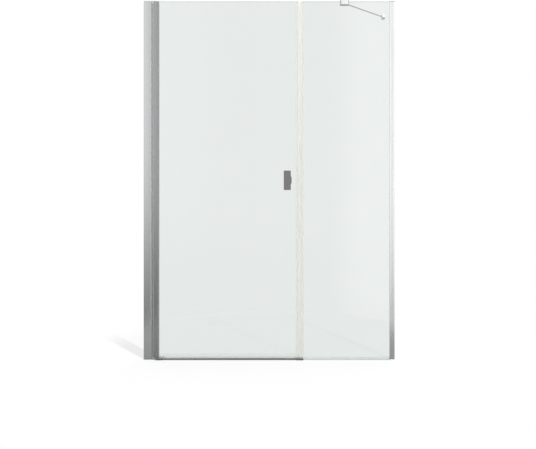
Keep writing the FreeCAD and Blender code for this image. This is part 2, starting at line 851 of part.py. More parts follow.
def threshold_outline(front, rear, lift):
    """Section of the threshold: a low face, a slope to the crown and a long fall inwards."""
    crown = s.threshold_height + lift
    return [
        (-front, ZERO), (rear, ZERO), (rear, s.threshold_lip + lift), (s.threshold_crown, crown),
        (s.threshold_slope - front, crown), (-front, s.threshold_face + lift),
    ]


def threshold_strip():
    """Low hollow strip on the tray under the door."""
    hollow = rect(
        s.threshold_wall - s.threshold_front, s.threshold_wall,
        s.threshold_crown - s.threshold_wall, s.threshold_face,
    )
    outline = threshold_outline(s.threshold_front, s.threshold_rear, ZERO)
    piece = Piece("threshold_strip").pad("YZ", [outline, hollow], strip_left, strip_right)
    soften_threshold(piece, s.threshold_front, ZERO)
    return piece.body


def soften_threshold(piece, front, lift):
    """Round the two long edges of the threshold's front."""
    crown = s.threshold_height + lift
    piece.rounded(s.threshold_round, "x", y=[-front], z=[s.threshold_face + lift])
    piece.rounded(s.threshold_round, "x", y=[s.threshold_slope - front], z=[crown])


def threshold_cap(label, left, right):
    """Thicker sleeve over an end of the threshold strip."""
    front = s.threshold_front + s.threshold_cap_front
    rear = s.threshold_rear + s.threshold_cap_rear
    outline = threshold_outline(front, rear, s.threshold_cap_lift)
    piece = Piece(label).pad("YZ", [outline], left, right)
    soften_threshold(piece, front, s.threshold_cap_lift)
    return piece


def threshold_hinge_cap():
    """Sleeve at the hinge end, closed by an end wall."""
    right = threshold_left + s.threshold_cap_length
    piece = threshold_cap("threshold_hinge_cap", threshold_left, right)
    cavity = threshold_outline(s.threshold_front, s.threshold_rear, ZERO)
    return piece.cut("YZ", [cavity], strip_left, right + s.overrun).body


def threshold_panel_cap():
    """Sleeve at the panel end, with a notch that takes the corner of the fixed glass."""
    left = threshold_right - s.threshold_cap_length
    piece = threshold_cap("threshold_panel_cap", left, threshold_right)
    cavity = threshold_outline(s.threshold_front, s.threshold_rear, ZERO)
    piece.cut("YZ", [cavity], left - s.overrun, strip_right)
    half = glass_half + s.corner_gap
    notch = rect(panel_glass_left - s.corner_gap, -half, threshold_right + s.overrun, half)
    return piece.cut("XY", [notch], -s.overrun, threshold_top + s.overrun).body


def panel_wall_channel():
    """U channel on the panel wall, open towards the glass."""
    base = right_wall - s.panel_channel_wall
    outline = [
        (panel_channel_mouth, -panel_channel_half), (right_wall, -panel_channel_half),
        (right_wall, panel_channel_half), (panel_channel_mouth, panel_channel_half),
        (panel_channel_mouth, panel_channel_inner), (base, panel_channel_inner),
        (base, -panel_channel_inner), (panel_channel_mouth, -panel_channel_inner),
    ]
    holes = lock_holes(panel_lock_x, s.fit_gap)
    piece = Piece("panel_wall_channel")
    piece.pad("XY", [outline], s.panel_foot, panel_top)
    piece.cut("YZ", wall_holes(), base - s.overrun, right_wall + s.overrun)
    piece.cut("XZ", holes, panel_channel_inner - s.overrun, panel_channel_half + s.overrun)
    return piece.body


def panel_glazing_profile():
    """Profile that holds the fixed glass and slides in the wall channel."""
    outline = [
        (panel_mouth, -panel_profile_half), (panel_profile_right, -panel_profile_half),
        (panel_profile_right, panel_profile_half), (panel_rear_mouth, panel_profile_half),
        (panel_rear_mouth, panel_profile_inner), (panel_profile_web, panel_profile_inner),
        (panel_profile_web, -panel_profile_inner), (panel_mouth, -panel_profile_inner),
    ]
    holes = lock_holes(panel_lock_x, s.drill_gap)
    piece = Piece("panel_glazing_profile")
    piece.pad("XY", [outline], s.panel_foot, panel_top)
    piece.cut("XZ", holes, panel_profile_inner - s.overrun, panel_profile_half + s.overrun)
    piece.rounded(s.jamb_round, "z", x=[panel_mouth], y=[-panel_profile_half])
    piece.rounded(s.jamb_round, "z", x=[panel_rear_mouth], y=[panel_profile_half])
    return piece.body


def panel_end(label, start, end):
    """Plastic end of the panel's wall profiles, open around the glass."""
    edge = panel_glass_right + s.fit_gap
    half = glass_half + s.fit_gap
    outline = [
        (panel_mouth, -panel_profile_half), (panel_channel_mouth, -panel_profile_half),
        (panel_channel_mouth, -panel_channel_half), (right_wall, -panel_channel_half),
        (right_wall, panel_channel_half), (panel_channel_mouth, panel_channel_half),
        (panel_channel_mouth, panel_profile_half), (panel_rear_mouth, panel_profile_half),
        (panel_rear_mouth, half), (edge, half), (edge, -half), (panel_mouth, -half),
    ]
    return Piece(label).pad("XY", [outline], start, end).body


def panel_gasket(label, mouth, side):
    """Gasket strip between the fixed glass and one wall of its profile."""
    left = mouth + s.panel_gasket_inset
    right = panel_mouth + s.panel_gasket_depth
    near = glass_half * side
    far = panel_profile_inner * side
    outline = [
        (left, near), (right, near), (right, far), (left + s.panel_gasket_bevel, far),
        (left, far - s.panel_gasket_bevel * side),
    ]
    return Piece(label).pad("XY", [outline], s.panel_foot, panel_top).body


def panel_bottom_seal():
    """Clear U strip that the fixed glass stands in, with a thin toe on the tray in front of it."""
    outer = glass_half + s.seal_wall
    outline = [
        (-s.panel_seal_toe, ZERO), (outer, ZERO), (outer, panel_seal_top),
        (glass_half, panel_seal_top), (glass_half, s.panel_seal_base),
        (-glass_half, s.panel_seal_base), (-glass_half, panel_seal_top),
        (-outer, panel_seal_top), (-outer, s.panel_seal_toe_thick),
        (-s.panel_seal_toe, s.panel_seal_toe_thick),
    ]
    left = threshold_right + s.fit_gap
    right = panel_mouth - s.fit_gap
    return Piece("panel_bottom_seal").pad("YZ", [outline], left, right).body


def rod_axis_piece(label, radius, start, end):
    """Round bar along the stay's axis, measured from its root in the clamp."""
    piece = Piece(label, rod_place, s.rod_angle_deg)
    return piece.pad("YZ", [Ring(ZERO, ZERO, radius)], start, end).body


def rod_screw_place(distance):
    """Point on the top of the rod at a distance from its root."""
    x, y, z = rod_place
    return (x + rod_cos * distance, y + rod_sin * distance, z + s.rod_radius)


def rod_screw_hole(label, distance, rise):
    """Upright hole for a lock screw, from the rod's axis up past the surface above it."""
    piece = Piece(label, rod_screw_place(distance))
    ring = Ring(ZERO, ZERO, s.rod_screw_radius + s.drill_gap)
    return piece.pad("XY", [ring], -s.rod_radius, rise).body


def pad_screw_places():
    return row(clamp_x, s.pad_screw_spacing, PAIR_COUNT)


def stay_clamp():
    """Block clamp over the panel's top edge, with a spigot for the stay rod behind it."""
    bottom = top - s.clamp_drop
    crown = bottom + s.clamp_height
    slot_top = top + s.clamp_top_gap
    outline = [
        (clamp_front, bottom), (-clamp_slot, bottom), (-clamp_slot, slot_top), (clamp_slot, slot_top),
        (clamp_slot, bottom), (clamp_rear, bottom), (clamp_rear, crown), (clamp_front, crown),
    ]
    left = clamp_x - s.clamp_width / 2
    right = clamp_x + s.clamp_width / 2
    block = Piece("stay_clamp_block").pad("YZ", [outline], left, right)
    block.bevelled(s.clamp_bevel, "x", y=[clamp_front], z=[bottom, crown])
    block.bevelled(s.clamp_bevel, "z", x=[left, right], y=[clamp_front])
    screw_radius = s.pad_screw_radius + s.drill_gap
    holes = [Ring(x, top - s.pad_screw_drop, screw_radius) for x in pad_screw_places()]
    block.cut("XZ", holes, clamp_slot - s.overrun, clamp_rear + s.overrun)
    spigot = rod_axis_piece("stay_clamp_spigot", s.spigot_radius, s.spigot_root, s.spigot_length)
    bore = rod_axis_piece(
        "stay_clamp_bore", s.rod_radius + s.drill_gap, rod_start, s.spigot_length + s.overrun
    )
    hole = rod_screw_hole("stay_clamp_screw_hole", clamp_rod_screw, s.spigot_radius)
    return without("stay_clamp", fused("stay_clamp_solid", [block.body, spigot]), [bore, hole])


def stay_clamp_pads():
    """Soft pads between the clamp and both faces of the glass."""
    half_width = s.clamp_width / 2 - s.clamp_pad_inset
    outline = rect(
        clamp_x - half_width, top - s.clamp_drop + s.clamp_pad_margin,
        clamp_x + half_width, top - s.clamp_pad_margin,
    )
    pads = [
        Piece("stay_clamp_pad").pad("XZ", [outline], glass_half * side, clamp_slot * side)
        for side in (-1, 1)
    ]
    return group("stay_clamp_pads", pads)


def stay_clamp_screws():
    """Grub screws in the clamp's rear wall, on the rear pad."""
    outline = grub_outline(
        clamp_slot, clamp_rear, s.pad_screw_radius, s.pad_socket_radius, s.pad_socket_depth
    )
    screws = [
        Piece("stay_clamp_screw", (x, ZERO, top - s.pad_screw_drop)).turned("Y", outline)
        for x in pad_screw_places()
    ]
    return group("stay_clamp_screws", screws)


def stay_rod():
    """Round rod from the clamp to the wall boss."""
    return rod_axis_piece("stay_rod", s.rod_radius, rod_start, rod_end)


def stay_wall_boss():
    """Round boss on the wall that takes the other end of the rod at an angle."""
    rim = s.boss_round - s.boss_thick
    disc = Piece("stay_boss_disc", boss_place)
    disc.turned("X", [
        (-s.boss_thick, ZERO), (ZERO, ZERO), (ZERO, s.boss_radius), (rim, s.boss_radius),
        (-s.boss_thick, s.boss_radius - s.boss_round),
    ])
    heights = row(ZERO, s.boss_hole_spacing, PAIR_COUNT)
    holes = [Ring(ZERO, height, s.boss_hole_radius) for height in heights]
    disc.cut("YZ", holes, -s.boss_thick - s.overrun, s.overrun)
    heads = [Ring(ZERO, height, s.boss_counterbore_radius) for height in heights]
    disc.cut("YZ", heads, -s.boss_thick - s.overrun, s.boss_counterbore - s.boss_thick)
    mouth = (s.clamp_from_wall - s.boss_thick - s.boss_radius) / rod_cos
    bore = rod_axis_piece("stay_boss_bore", s.rod_radius + s.drill_gap, mouth, rod_end)
    hole = rod_screw_hole("stay_boss_screw_hole", boss_middle, s.boss_radius)
    return without("stay_wall_boss", disc.body, [bore, hole])


def stay_lock_screws():
    """Upright grub screws that hold the rod in clamp and boss."""
    outline = rect(ZERO, ZERO, s.rod_screw_radius, s.rod_screw_length)
    screws = [
        Piece("stay_lock_screw", rod_screw_place(distance)).turned("Z", outline)
        for distance in (clamp_rod_screw, boss_middle)
    ]
    return group("stay_lock_screws", screws)


def handle_rings(heights, radius):
    return [Ring(ZERO, height, radius) for height in heights]


def base_outline():
    return rect(-s.base_width / 2, -s.base_height / 2, s.base_width / 2, s.base_height / 2)


def plate_outline():
    """Handle plate with a grip bump on the side of the door's free edge."""
    half_width = s.plate_width / 2
    half_height = s.plate_height / 2
    bump = half_width + s.bump_reach
    crest = s.bump_length / 2
    foot = crest + s.bump_slope
    return [
        (-half_width, -half_height), (half_width, -half_height), (half_width, -foot), (bump, -crest),
        (bump, crest), (half_width, foot), (half_width, half_height), (-half_width, half_height),
    ]


def finish_plate(piece, face, side):
    """Grip ridge along the bump, and rounded edges of the plate's outer face."""
    half_width = s.plate_width / 2
    half_height = s.plate_height / 2
    bump = half_width + s.bump_reach
    crest = s.bump_length / 2
    ridge_face = face + s.ridge_height * side
    ridge = rect(bump - s.ridge_width, -crest, bump, crest)
    piece.pad("XZ", [ridge], face, ridge_face)
    piece.rounded(s.ridge_round, "z", x=[bump - s.ridge_width, bump], y=[ridge_face])
    piece.rounded(s.plate_round, "x", y=[face], z=[-half_height, half_height])
    piece.rounded(s.plate_round, "z", x=[-half_width], y=[face])


def handle_outer_base():
    """Room side spacer, threaded for the handle screws and screwed to its plate."""
    floor = -handle_seat - s.plate_counterbore
    piece = Piece("handle_outer_base", handle_place)
    piece.pad("XZ", [base_outline()], -handle_step, -handle_seat)
    thread = handle_rings(handle_screw_heights, s.handle_screw_radius + s.drill_gap)
    piece.cut("XZ", thread, -handle_seat - s.handle_thread, -handle_seat + s.overrun)
    shank = handle_rings(plate_fixing_heights, s.plate_screw_radius + s.drill_gap)
    piece.cut("XZ", shank, -handle_step - s.overrun, -handle_seat)
    head = handle_rings(plate_fixing_heights, s.plate_head_radius + s.fit_gap)
    return piece.cut("XZ", head, floor, -handle_seat + s.overrun).body


def handle_outer_plate():
    """Room side plate."""
    piece = Piece("handle_outer_plate", handle_place)
    piece.pad("XZ", [plate_outline()], -handle_face, -handle_step)
    thread = handle_rings(plate_fixing_heights, s.plate_screw_radius + s.drill_gap)
    piece.cut("XZ", thread, -handle_step - s.plate_screw_thread, -handle_step + s.overrun)
    finish_plate(piece, -handle_face, -1)
    return piece.body


def handle_inner_base():
    """Shower side spacer with counterbores for the screw heads and sockets for the plate."""
    floor = handle_step - s.handle_counterbore
    piece = Piece("handle_inner_base", handle_place)
    piece.pad("XZ", [base_outline()], handle_seat, handle_step)
    shank = handle_rings(handle_screw_heights, s.handle_screw_radius + s.drill_gap)
    piece.cut("XZ", shank, handle_seat - s.overrun, floor + s.overrun)
    head = handle_rings(handle_screw_heights, s.handle_head_radius + s.fit_gap)
    piece.cut("XZ", head, floor, handle_step + s.overrun)
    socket = handle_rings(plate_fixing_heights, s.peg_radius + s.drill_gap)
    return piece.cut("XZ", socket, handle_step - s.peg_length - s.fit_gap, handle_step + s.overrun).body


def handle_inner_plate():
    """Shower side plate with two pegs that push into its base."""
    piece = Piece("handle_inner_plate", handle_place)
    piece.pad("XZ", [plate_outline()], handle_step, handle_face)
    for ring in handle_rings(plate_fixing_heights, s.peg_radius):
        piece.pad("XZ", [ring], handle_step - s.peg_length, handle_step)
    finish_plate(piece, handle_face, 1)
    return piece.body


def handle_gaskets():
    """Thin gaskets between the glass and both bases."""
    holes = handle_rings(handle_screw_heights, s.handle_screw_radius + s.fit_gap)
    gaskets = [
        Piece("handle_gasket", handle_place).pad(
            "XZ", [base_outline()] + holes, glass_half * side, handle_seat * side
        )
        for side in (-1, 1)
    ]
    return group("handle_gaskets", gaskets)


def handle_fastener_places(heights):
    x, y, z = handle_place
    return [(x, y, z + height) for height in heights]


def handle_sleeves():
    """Sleeves that keep the screws off the glass."""
    bore = s.handle_screw_radius + s.fit_gap
    outer = s.glass_hole_radius - s.fit_gap
    outline = rect(bore, -glass_half, outer, glass_half)
    sleeves = [
        Piece("handle_sleeve", place).turned("Y", outline)
        for place in handle_fastener_places(handle_screw_heights)
    ]
    return group("handle_sleeves", sleeves)


def screw_outline(tip, seat, back, radius, head_radius):
    """Half section of a cap screw with a key socket in its head."""
    return [
        (ZERO, tip), (radius, tip), (radius, seat), (head_radius, seat), (head_radius, back),
        (s.hex_socket_radius, back), (s.hex_socket_radius, back - s.hex_socket_depth),
        (ZERO, back - s.hex_socket_depth),
    ]


def handle_screws():
    """Cap screws from the inner base through the glass into the outer base."""
    tip = -handle_seat - s.handle_thread + s.fit_gap
    seat = handle_step - s.handle_counterbore
    outline = screw_outline(
        tip, seat, seat + s.handle_head_height, s.handle_screw_radius, s.handle_head_radius
    )
    screws = [
        Piece("handle_screw", place).turned("Y", outline)
        for place in handle_fastener_places(handle_screw_heights)
    ]
    return group("handle_screws", screws)


def handle_plate_screws():
    """Short screws from the glass side of the outer base into the outer plate."""
    tip = -handle_step - s.plate_screw_thread + s.fit_gap
    seat = -handle_seat - s.plate_counterbore
    outline = screw_outline(
        tip, seat, seat + s.plate_head_height, s.plate_screw_radius, s.plate_head_radius
    )
    screws = [
        Piece("handle_plate_screw", place).turned("Y", outline)
        for place in handle_fastener_places(plate_fixing_heights)
    ]
    return group("handle_plate_screws", screws)


def build():
    """Make every sub-part, from the hinge wall to the handle."""
    barrel_top = top - door_bottom
    return [
        hinge_wall_channel(),
        hinge_jamb(),
        lock_screws("jamb_lock_screws", lock_x, jamb_half, s.lock_length),
        pivot_bracket("top_pivot_bracket", top, -1, pivot_x),
        pivot_bracket("bottom_pivot_bracket", ZERO, 1, foot_arm_right),
        pivot_pin("top_pivot_pin", top, -1),
        pivot_pin("bottom_pivot_pin", ZERO, 1),
        hinge_bulb_seal(),
        threshold_strip(),
        threshold_hinge_cap(),
        threshold_panel_cap(),
        panel_glass(),
        panel_wall_channel(),
        panel_glazing_profile(),
        lock_screws("panel_lock_screws", panel_lock_x, panel_channel_half, s.panel_lock_length),
        panel_end("panel_profile_cap", panel_top, top),
        panel_end("panel_profile_foot", ZERO, s.panel_foot),
        panel_gasket("panel_front_gasket", panel_mouth, -1),
        panel_gasket("panel_rear_gasket", panel_rear_mouth, 1),
        panel_bottom_seal(),
        panel_magnet_carrier(),
        magnet_strip(
            "panel_magnet_strip", panel_carrier_left, panel_glass_left, threshold_top + s.fit_gap
        ),
        stay_clamp(),
        stay_clamp_pads(),
        stay_clamp_screws(),
        stay_rod(),
        stay_wall_boss(),
        stay_lock_screws(),
        door_hinge_profile(),
        hinge_bush("top_hinge_bush", barrel_top, -1),
        hinge_bush("bottom_hinge_bush", door_bottom, 1),
        hinge_top_cap(),
        hinge_bottom_cap(),
        door_gasket(),
        door_clamp_bar(),
        door_clamp_screws(),
        door_glass(),
        door_magnet_carrier(),
        magnet_strip("door_magnet_strip", door_glass_right, door_carrier_right, door_bottom),
        door_bottom_seal(),
        handle_outer_base(),
        handle_outer_plate(),
        handle_inner_base(),
        handle_inner_plate(),
        handle_gaskets(),
        handle_sleeves(),
        handle_screws(),
        handle_plate_screws(),
    ]


def check(sub_parts):
    """Stop if any object is in error or any sub-part is empty or not a valid solid."""
    for item in doc.Objects:
        if "Invalid" in item.State or "Error" in item.State:
            raise RuntimeError(f"{item.Label}: {item.State}")
    for item in sub_parts:
        if item.Shape.isNull() or not item.Shape.isValid() or not item.Shape.Solids:
            raise RuntimeError(f"{item.Label} has no valid solid")


os.makedirs("parts", exist_ok=True)
sub_parts = build()
doc.recompute()
check(sub_parts)
for item in sub_parts:
    item.Shape.exportStep(f"parts/{item.Label}.step")
print(f"{len(sub_parts)} sub-parts written")
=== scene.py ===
"""Looks of a hinged shower door with a fixed glass panel beside it.

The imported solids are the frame. Shapes are worked out in millimetres of that frame, +Z up and
+Y into the shower, and every finished mesh is written in metres with its object at the origin.
"""

import logging
import math
from collections.abc import Callable, Iterable, Sequence
from dataclasses import dataclass
from enum import Enum

import bmesh
import bpy
from mathutils import Matrix, Vector


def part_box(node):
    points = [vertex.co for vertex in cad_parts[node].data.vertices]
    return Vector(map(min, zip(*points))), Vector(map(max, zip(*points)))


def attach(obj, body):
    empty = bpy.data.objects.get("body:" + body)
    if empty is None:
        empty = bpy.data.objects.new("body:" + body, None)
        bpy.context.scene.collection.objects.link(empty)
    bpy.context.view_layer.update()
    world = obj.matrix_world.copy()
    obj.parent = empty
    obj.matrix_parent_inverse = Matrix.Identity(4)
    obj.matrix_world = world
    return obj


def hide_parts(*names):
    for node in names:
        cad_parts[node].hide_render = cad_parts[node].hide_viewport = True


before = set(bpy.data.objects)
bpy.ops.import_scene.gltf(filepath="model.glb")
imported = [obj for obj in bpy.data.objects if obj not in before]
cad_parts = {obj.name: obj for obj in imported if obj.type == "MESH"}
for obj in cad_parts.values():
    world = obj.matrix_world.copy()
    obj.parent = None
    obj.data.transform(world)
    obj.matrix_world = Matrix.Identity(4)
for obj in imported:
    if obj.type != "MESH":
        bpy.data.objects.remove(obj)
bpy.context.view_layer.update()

LOG = logging.getLogger("shower_door")

MM = 0.001

ROUND_SEGMENTS = 6
TURN_STEPS = 48
DRILL_STEPS = 32
HEXAGON = 6
BOW_STEPS = 6
MERGE_DISTANCE = 2e-3
SHARP_ANGLE = math.radians(32)
CREASE_ANGLE = math.radians(40)
STRAIGHT_ANGLE = math.radians(0.5)
OVERRUN = 1.0
NEAR = 0.01
FLAT_SHARE = 0.95
NOSE_TURN = 0.3
SOFT_EDGE = 0.4

NOISE_SPAN = (0.3, 0.7)

# Places of the colour sockets on a mix node
MIX_COLOURS = (6, 7)
MIX_COLOUR_RESULT = 2

Colour = tuple[float, float, float]
Place = tuple[float, float, float]
Corner = Sequence[float]
Socket = bpy.types.NodeSocket


class Body(Enum):
    """Bodies of the part that a piece can ride on."""

    FRAME = "frame"
    DOOR = "door"


class Axis(Enum):
    """Axis that a section is drawn out along."""

    X = "X"
    Y = "Y"
    Z = "Z"

    def at(self, u: float, v: float, along: float) -> Vector:
        """Turn a place in a section into a point of the part's frame.

        Args:
            u: First coordinate across the axis.
            v: Second coordinate across the axis.
            along: Coordinate on the axis.

        Returns:
            The point.
        """
        if self is Axis.X:
            return Vector((along, u, v))
        if self is Axis.Y:
            return Vector((u, along, v))
        return Vector((u, v, along))

    def facing(self) -> Matrix:
        """Find the turn that takes +Z to this axis.

        Returns:
            The turn.
        """
        if self is Axis.X:
            return Matrix.Rotation(math.pi / 2, 4, "Y")
        if self is Axis.Y:
            return Matrix.Rotation(-math.pi / 2, 4, "X")
        return Matrix.Identity(4)


class Side(Enum):
    """Side of the glass, as its sign on the axis into the shower."""

    ROOM = -1
    SHOWER = 1


class Combining(Enum):
    """What a solid does with another one."""

    CUT = "DIFFERENCE"
    JOIN = "UNION"


class Rounding(Enum):
    """What a bevel rounds, and how its width is measured."""

    CORNERS = ("VERTICES", "ABSOLUTE")
    EDGES = ("EDGES", "OFFSET")


class Course(Enum):
    """Course of a fade between its ends."""

    SOFT = "SMOOTHSTEP"
    STRAIGHT = "LINEAR"


class Reckoning(Enum):
    """What is made of two values in a shader."""

    SUM = "ADD"
    PRODUCT = "MULTIPLY"
    LARGER = "MAXIMUM"


class Grain(Enum):
    """Direction of the fine lines in a metal, as lines per metre along each axis."""

    UPRIGHT = (900.0, 900.0, 5.0)
    LEVEL = (5.0, 900.0, 900.0)
    POLISHED = (45.0, 45.0, 45.0)
    DRAWN_UPRIGHT = (500.0, 500.0, 0.5)
    DRAWN_LEVEL = (0.5, 500.0, 500.0)


def placed(name: str, data: bpy.types.ID) -> bpy.types.Object:
    """Put a new object in the scene, at the origin.

    Args:
        name: Name of the object.
        data: Its mesh, lamp or camera.

    Returns:
        The object.
    """
    made = bpy.data.objects.new(name, data)
    bpy.context.scene.collection.objects.link(made)
    return made


class Graph:
    """Adds and wires the shader nodes of one material or world."""

    def __init__(self, holder: bpy.types.Material | bpy.types.World) -> None:
        """Start with an empty tree.

        Args:
            holder: The material or world.
        """
        holder.use_nodes = True
        self.tree = holder.node_tree
        self.tree.nodes.clear()

    def node(
        self, kind: str, inputs: dict[str | int, object] | None = None, **settings: object
    ) -> bpy.types.Node:
        """Add a node.

        Args:
            kind: Blender's name of the node type.
            inputs: Values, or sockets of other nodes, for its inputs.
            **settings: Properties of the node itself.

        Returns:
            The new node.
        """
        made = self.tree.nodes.new(kind)
        for name, value in settings.items():
            setattr(made, name, value)
        for key, value in (inputs or {}).items():
            if isinstance(value, Socket):
                self.tree.links.new(value, made.inputs[key])
            else:
                made.inputs[key].default_value = value
        return made

    def noise(self, stretch: Sequence[float], detail: float) -> Socket:
        """Add a noise pattern on the piece's own coordinates.

        Args:
            stretch: Features per metre along each axis.
            detail: How many finer layers the noise has.

        Returns:
            The noise value, from 0 to 1.
        """
        coordinates = self.node("ShaderNodeTexCoord").outputs["Object"]
        mapping = self.node("ShaderNodeMapping", {"Vector": coordinates, "Scale": stretch})
        pattern = self.node(
            "ShaderNodeTexNoise",
            {"Vector": mapping.outputs["Vector"], "Scale": 1.0, "Detail": detail},
        )
        return pattern.outputs["Fac"]

    def spread(self, value: Socket, low: float, high: float) -> Socket:
        """Return a noise value with its usual span mapped onto a range."""
        return self.fade(value, *NOISE_SPAN, low, high, Course.STRAIGHT)

    def shaded(self, value: Socket, colour: Colour, swing: float) -> Socket:
        """Vary a colour a little with a noise.

        Args:
            value: Noise value.
            colour: Colour in the middle of the variation.
            swing: Share by which the colour falls and rises.

        Returns:
            The varied colour.
        """
        mix = self.node("ShaderNodeMix", {"Factor": value}, data_type="RGBA")
        for socket, share in zip(MIX_COLOURS, (1 - swing, 1 + swing)):
            mix.inputs[socket].default_value = (*(min(channel * share, 1.0) for channel in colour), 1.0)
        return mix.outputs[MIX_COLOUR_RESULT]

    def bump(self, height: Socket, strength: float, depth: float) -> Socket:
        """Return a surface normal from a height pattern that is some millimetres deep."""
        inputs = {"Height": height, "Strength": strength, "Distance": depth * MM}
        return self.node("ShaderNodeBump", inputs).outputs["Normal"]

    def fade(
        self, value: Socket, start: float, end: float,
        low: float = 0.0, high: float = 1.0, course: Course = Course.SOFT,
    ) -> Socket:
        """Rise or fall from one value to another.

        Args:
            value: What the fade follows.
            start: Where the fade starts.
            end: Where it ends, above or below the start.
            low: Result at the start.
            high: Result at the end.
            course: Course between the two.

        Returns:
            The faded value.
        """
        inputs = {"Value": value, "From Min": start, "From Max": end, "To Min": low, "To Max": high}
        made = self.node("ShaderNodeMapRange", inputs, interpolation_type=course.value)
        return made.outputs["Result"]

    def reckon(self, kind: Reckoning, first: Socket, second: Socket | float) -> Socket:
        """Return what is made of two values."""
        return self.node("ShaderNodeMath", {0: first, 1: second}, operation=kind.value).outputs["Value"]

    def mix(self, share: Socket, first: Socket, second: Socket) -> Socket:
        """Return two shaders mixed, with a share of the second one."""
        return self.node("ShaderNodeMixShader", {0: share, 1: first, 2: second}).outputs["Shader"]

    def surface(self, shader: Socket) -> None:
        """Wire a shader to the material's output."""
        self.node("ShaderNodeOutputMaterial", {"Surface": shader})

    def principled(self, inputs: dict[str | int, object]) -> Socket:
        """Return the main surface shader with the given inputs."""
        return self.node("ShaderNodeBsdfPrincipled", inputs).outputs["BSDF"]

    def clear_to_lamps(self, shader: Socket, tint: Colour) -> Socket:
        """Let the light of lamps pass through a clear shader instead of casting a solid shadow.

        Args:
            shader: The clear shader.
            tint: Colour that light has after it went in and came out again.

        Returns:
            The mixed shader.
        """
        to_lamp = self.node("ShaderNodeLightPath").outputs["Is Shadow Ray"]
        each_face = (*(math.sqrt(channel) for channel in tint), 1.0)
        passing = self.node("ShaderNodeBsdfTransparent", {"Color": each_face}).outputs["BSDF"]
        return self.mix(to_lamp, shader, passing)


@dataclass(frozen=True)
class Finish:
    """A surface finish and the record's slot that it belongs to."""

    name: str
    slot: str
    colour: Colour
    roughness: float

    def material(self) -> bpy.types.Material:
        """Find the material of the finish, or build it on first use.

        Returns:
            The material.
        """
        found = bpy.data.materials.get(self.name)
        if found:
            return found
        made = bpy.data.materials.new(self.name)
        self.wire(Graph(made))
        return made

    def roughened(self, graph: Graph, pattern: Socket, swing: float) -> Socket:
        """Return the roughness, varied with a pattern by a share up and down."""
        return graph.spread(pattern, self.roughness * (1 - swing), self.roughness * (1 + swing))

    def wire(self, graph: Graph) -> None:
        """Wire the nodes of the finish."""
        raise NotImplementedError


@dataclass(frozen=True)
class Metal(Finish):
    """Metal with fine lines from drawing, brushing or polishing."""

    grain: Grain = Grain.POLISHED
    swing: float = 0.03
    line_strength: float = 0.05
    line_depth: float = 0.1
    line_detail: float = 3.0
    clouds: float = 2.6
    cloud_detail: float = 2.0
    rough_swing: float = 0.15

    def wire(self, graph: Graph) -> None:
        """Wire streaks into roughness and bump, and slow clouds into the colour.

        Args:
            graph: Graph of the material.
        """
        lines = graph.noise(self.grain.value, self.line_detail)
        clouds = graph.noise((self.clouds,) * 3, self.cloud_detail)
        shader = graph.principled({
            "Base Color": graph.shaded(clouds, self.colour, self.swing),
            "Metallic": 1.0,
            "Roughness": self.roughened(graph, lines, self.rough_swing),
            "Normal": graph.bump(lines, self.line_strength, self.line_depth),
        })
        graph.surface(shader)


@dataclass(frozen=True)
class Moulded(Finish):
    """Plastic or rubber with the fine grain of its mould."""

    grain: float = 1400.0
    grain_strength: float = 0.25
    swing: float = 0.06
    grain_depth: float = 0.15
    grain_detail: float = 2.0
    clouds: float = 14.0
    cloud_detail: float = 3.0
    rough_swing: float = 0.15

    def wire(self, graph: Graph) -> None:
        """Wire a fine grain into roughness and bump, and slow clouds into the colour.

        Args:
            graph: Graph of the material.
        """
        grains = graph.noise((self.grain,) * 3, self.grain_detail)
        clouds = graph.noise((self.clouds,) * 3, self.cloud_detail)
        shader = graph.principled({
            "Base Color": graph.shaded(clouds, self.colour, self.swing),
            "Roughness": self.roughened(graph, grains, self.rough_swing),
            "Normal": graph.bump(grains, self.grain_strength, self.grain_depth),
        })
        graph.surface(shader)


@dataclass(frozen=True)
class Glass(Finish):
    """Float glass with a faint tint and the slow wave of toughening."""

    clear_share: float = 1.0
    swing: float = 0.006
    waves: Sequence[float] = (3.0, 3.0, 7.0)
    wave_detail: float = 1.0
    wave_strength: float = 0.02
    wave_depth: float = 0.2
    refraction: float = 1.5

    def wire(self, graph: Graph) -> None:
        """Wire a faint wave into the normal and a slow drift into the tint.

        Args:
            graph: Graph of the material.
        """
        wave = graph.noise(self.waves, self.wave_detail)
        shader = graph.principled({
            "Base Color": graph.shaded(wave, self.colour, self.swing),
            "Roughness": self.roughness,
            "IOR": self.refraction,
            "Transmission Weight": self.clear_share,
            "Normal": graph.bump(wave, self.wave_strength, self.wave_depth),
        })
        graph.surface(graph.clear_to_lamps(shader, self.colour))


@dataclass(frozen=True)
class ClearSeal(Finish):
    """Extruded translucent seal plastic with faint lines along its length."""

    grain: Grain = Grain.DRAWN_UPRIGHT
    clear_share: float = 0.92
    swing: float = 0.006
    line_strength: float = 0.02
    line_depth: float = 0.1
    line_detail: float = 2.0
    rough_swing: float = 0.2
    refraction: float = 1.3

    def wire(self, graph: Graph) -> None:
        """Wire the extrusion lines into colour, roughness and bump.

        Args:
            graph: Graph of the material.
        """
        lines = graph.noise(self.grain.value, self.line_detail)
        shader = graph.principled({
            "Base Color": graph.shaded(lines, self.colour, self.swing),
            "Roughness": self.roughened(graph, lines, self.rough_swing),
            "IOR": self.refraction,
            "Transmission Weight": self.clear_share,
            "Normal": graph.bump(lines, self.line_strength, self.line_depth),
        })
        graph.surface(graph.clear_to_lamps(shader, self.colour))


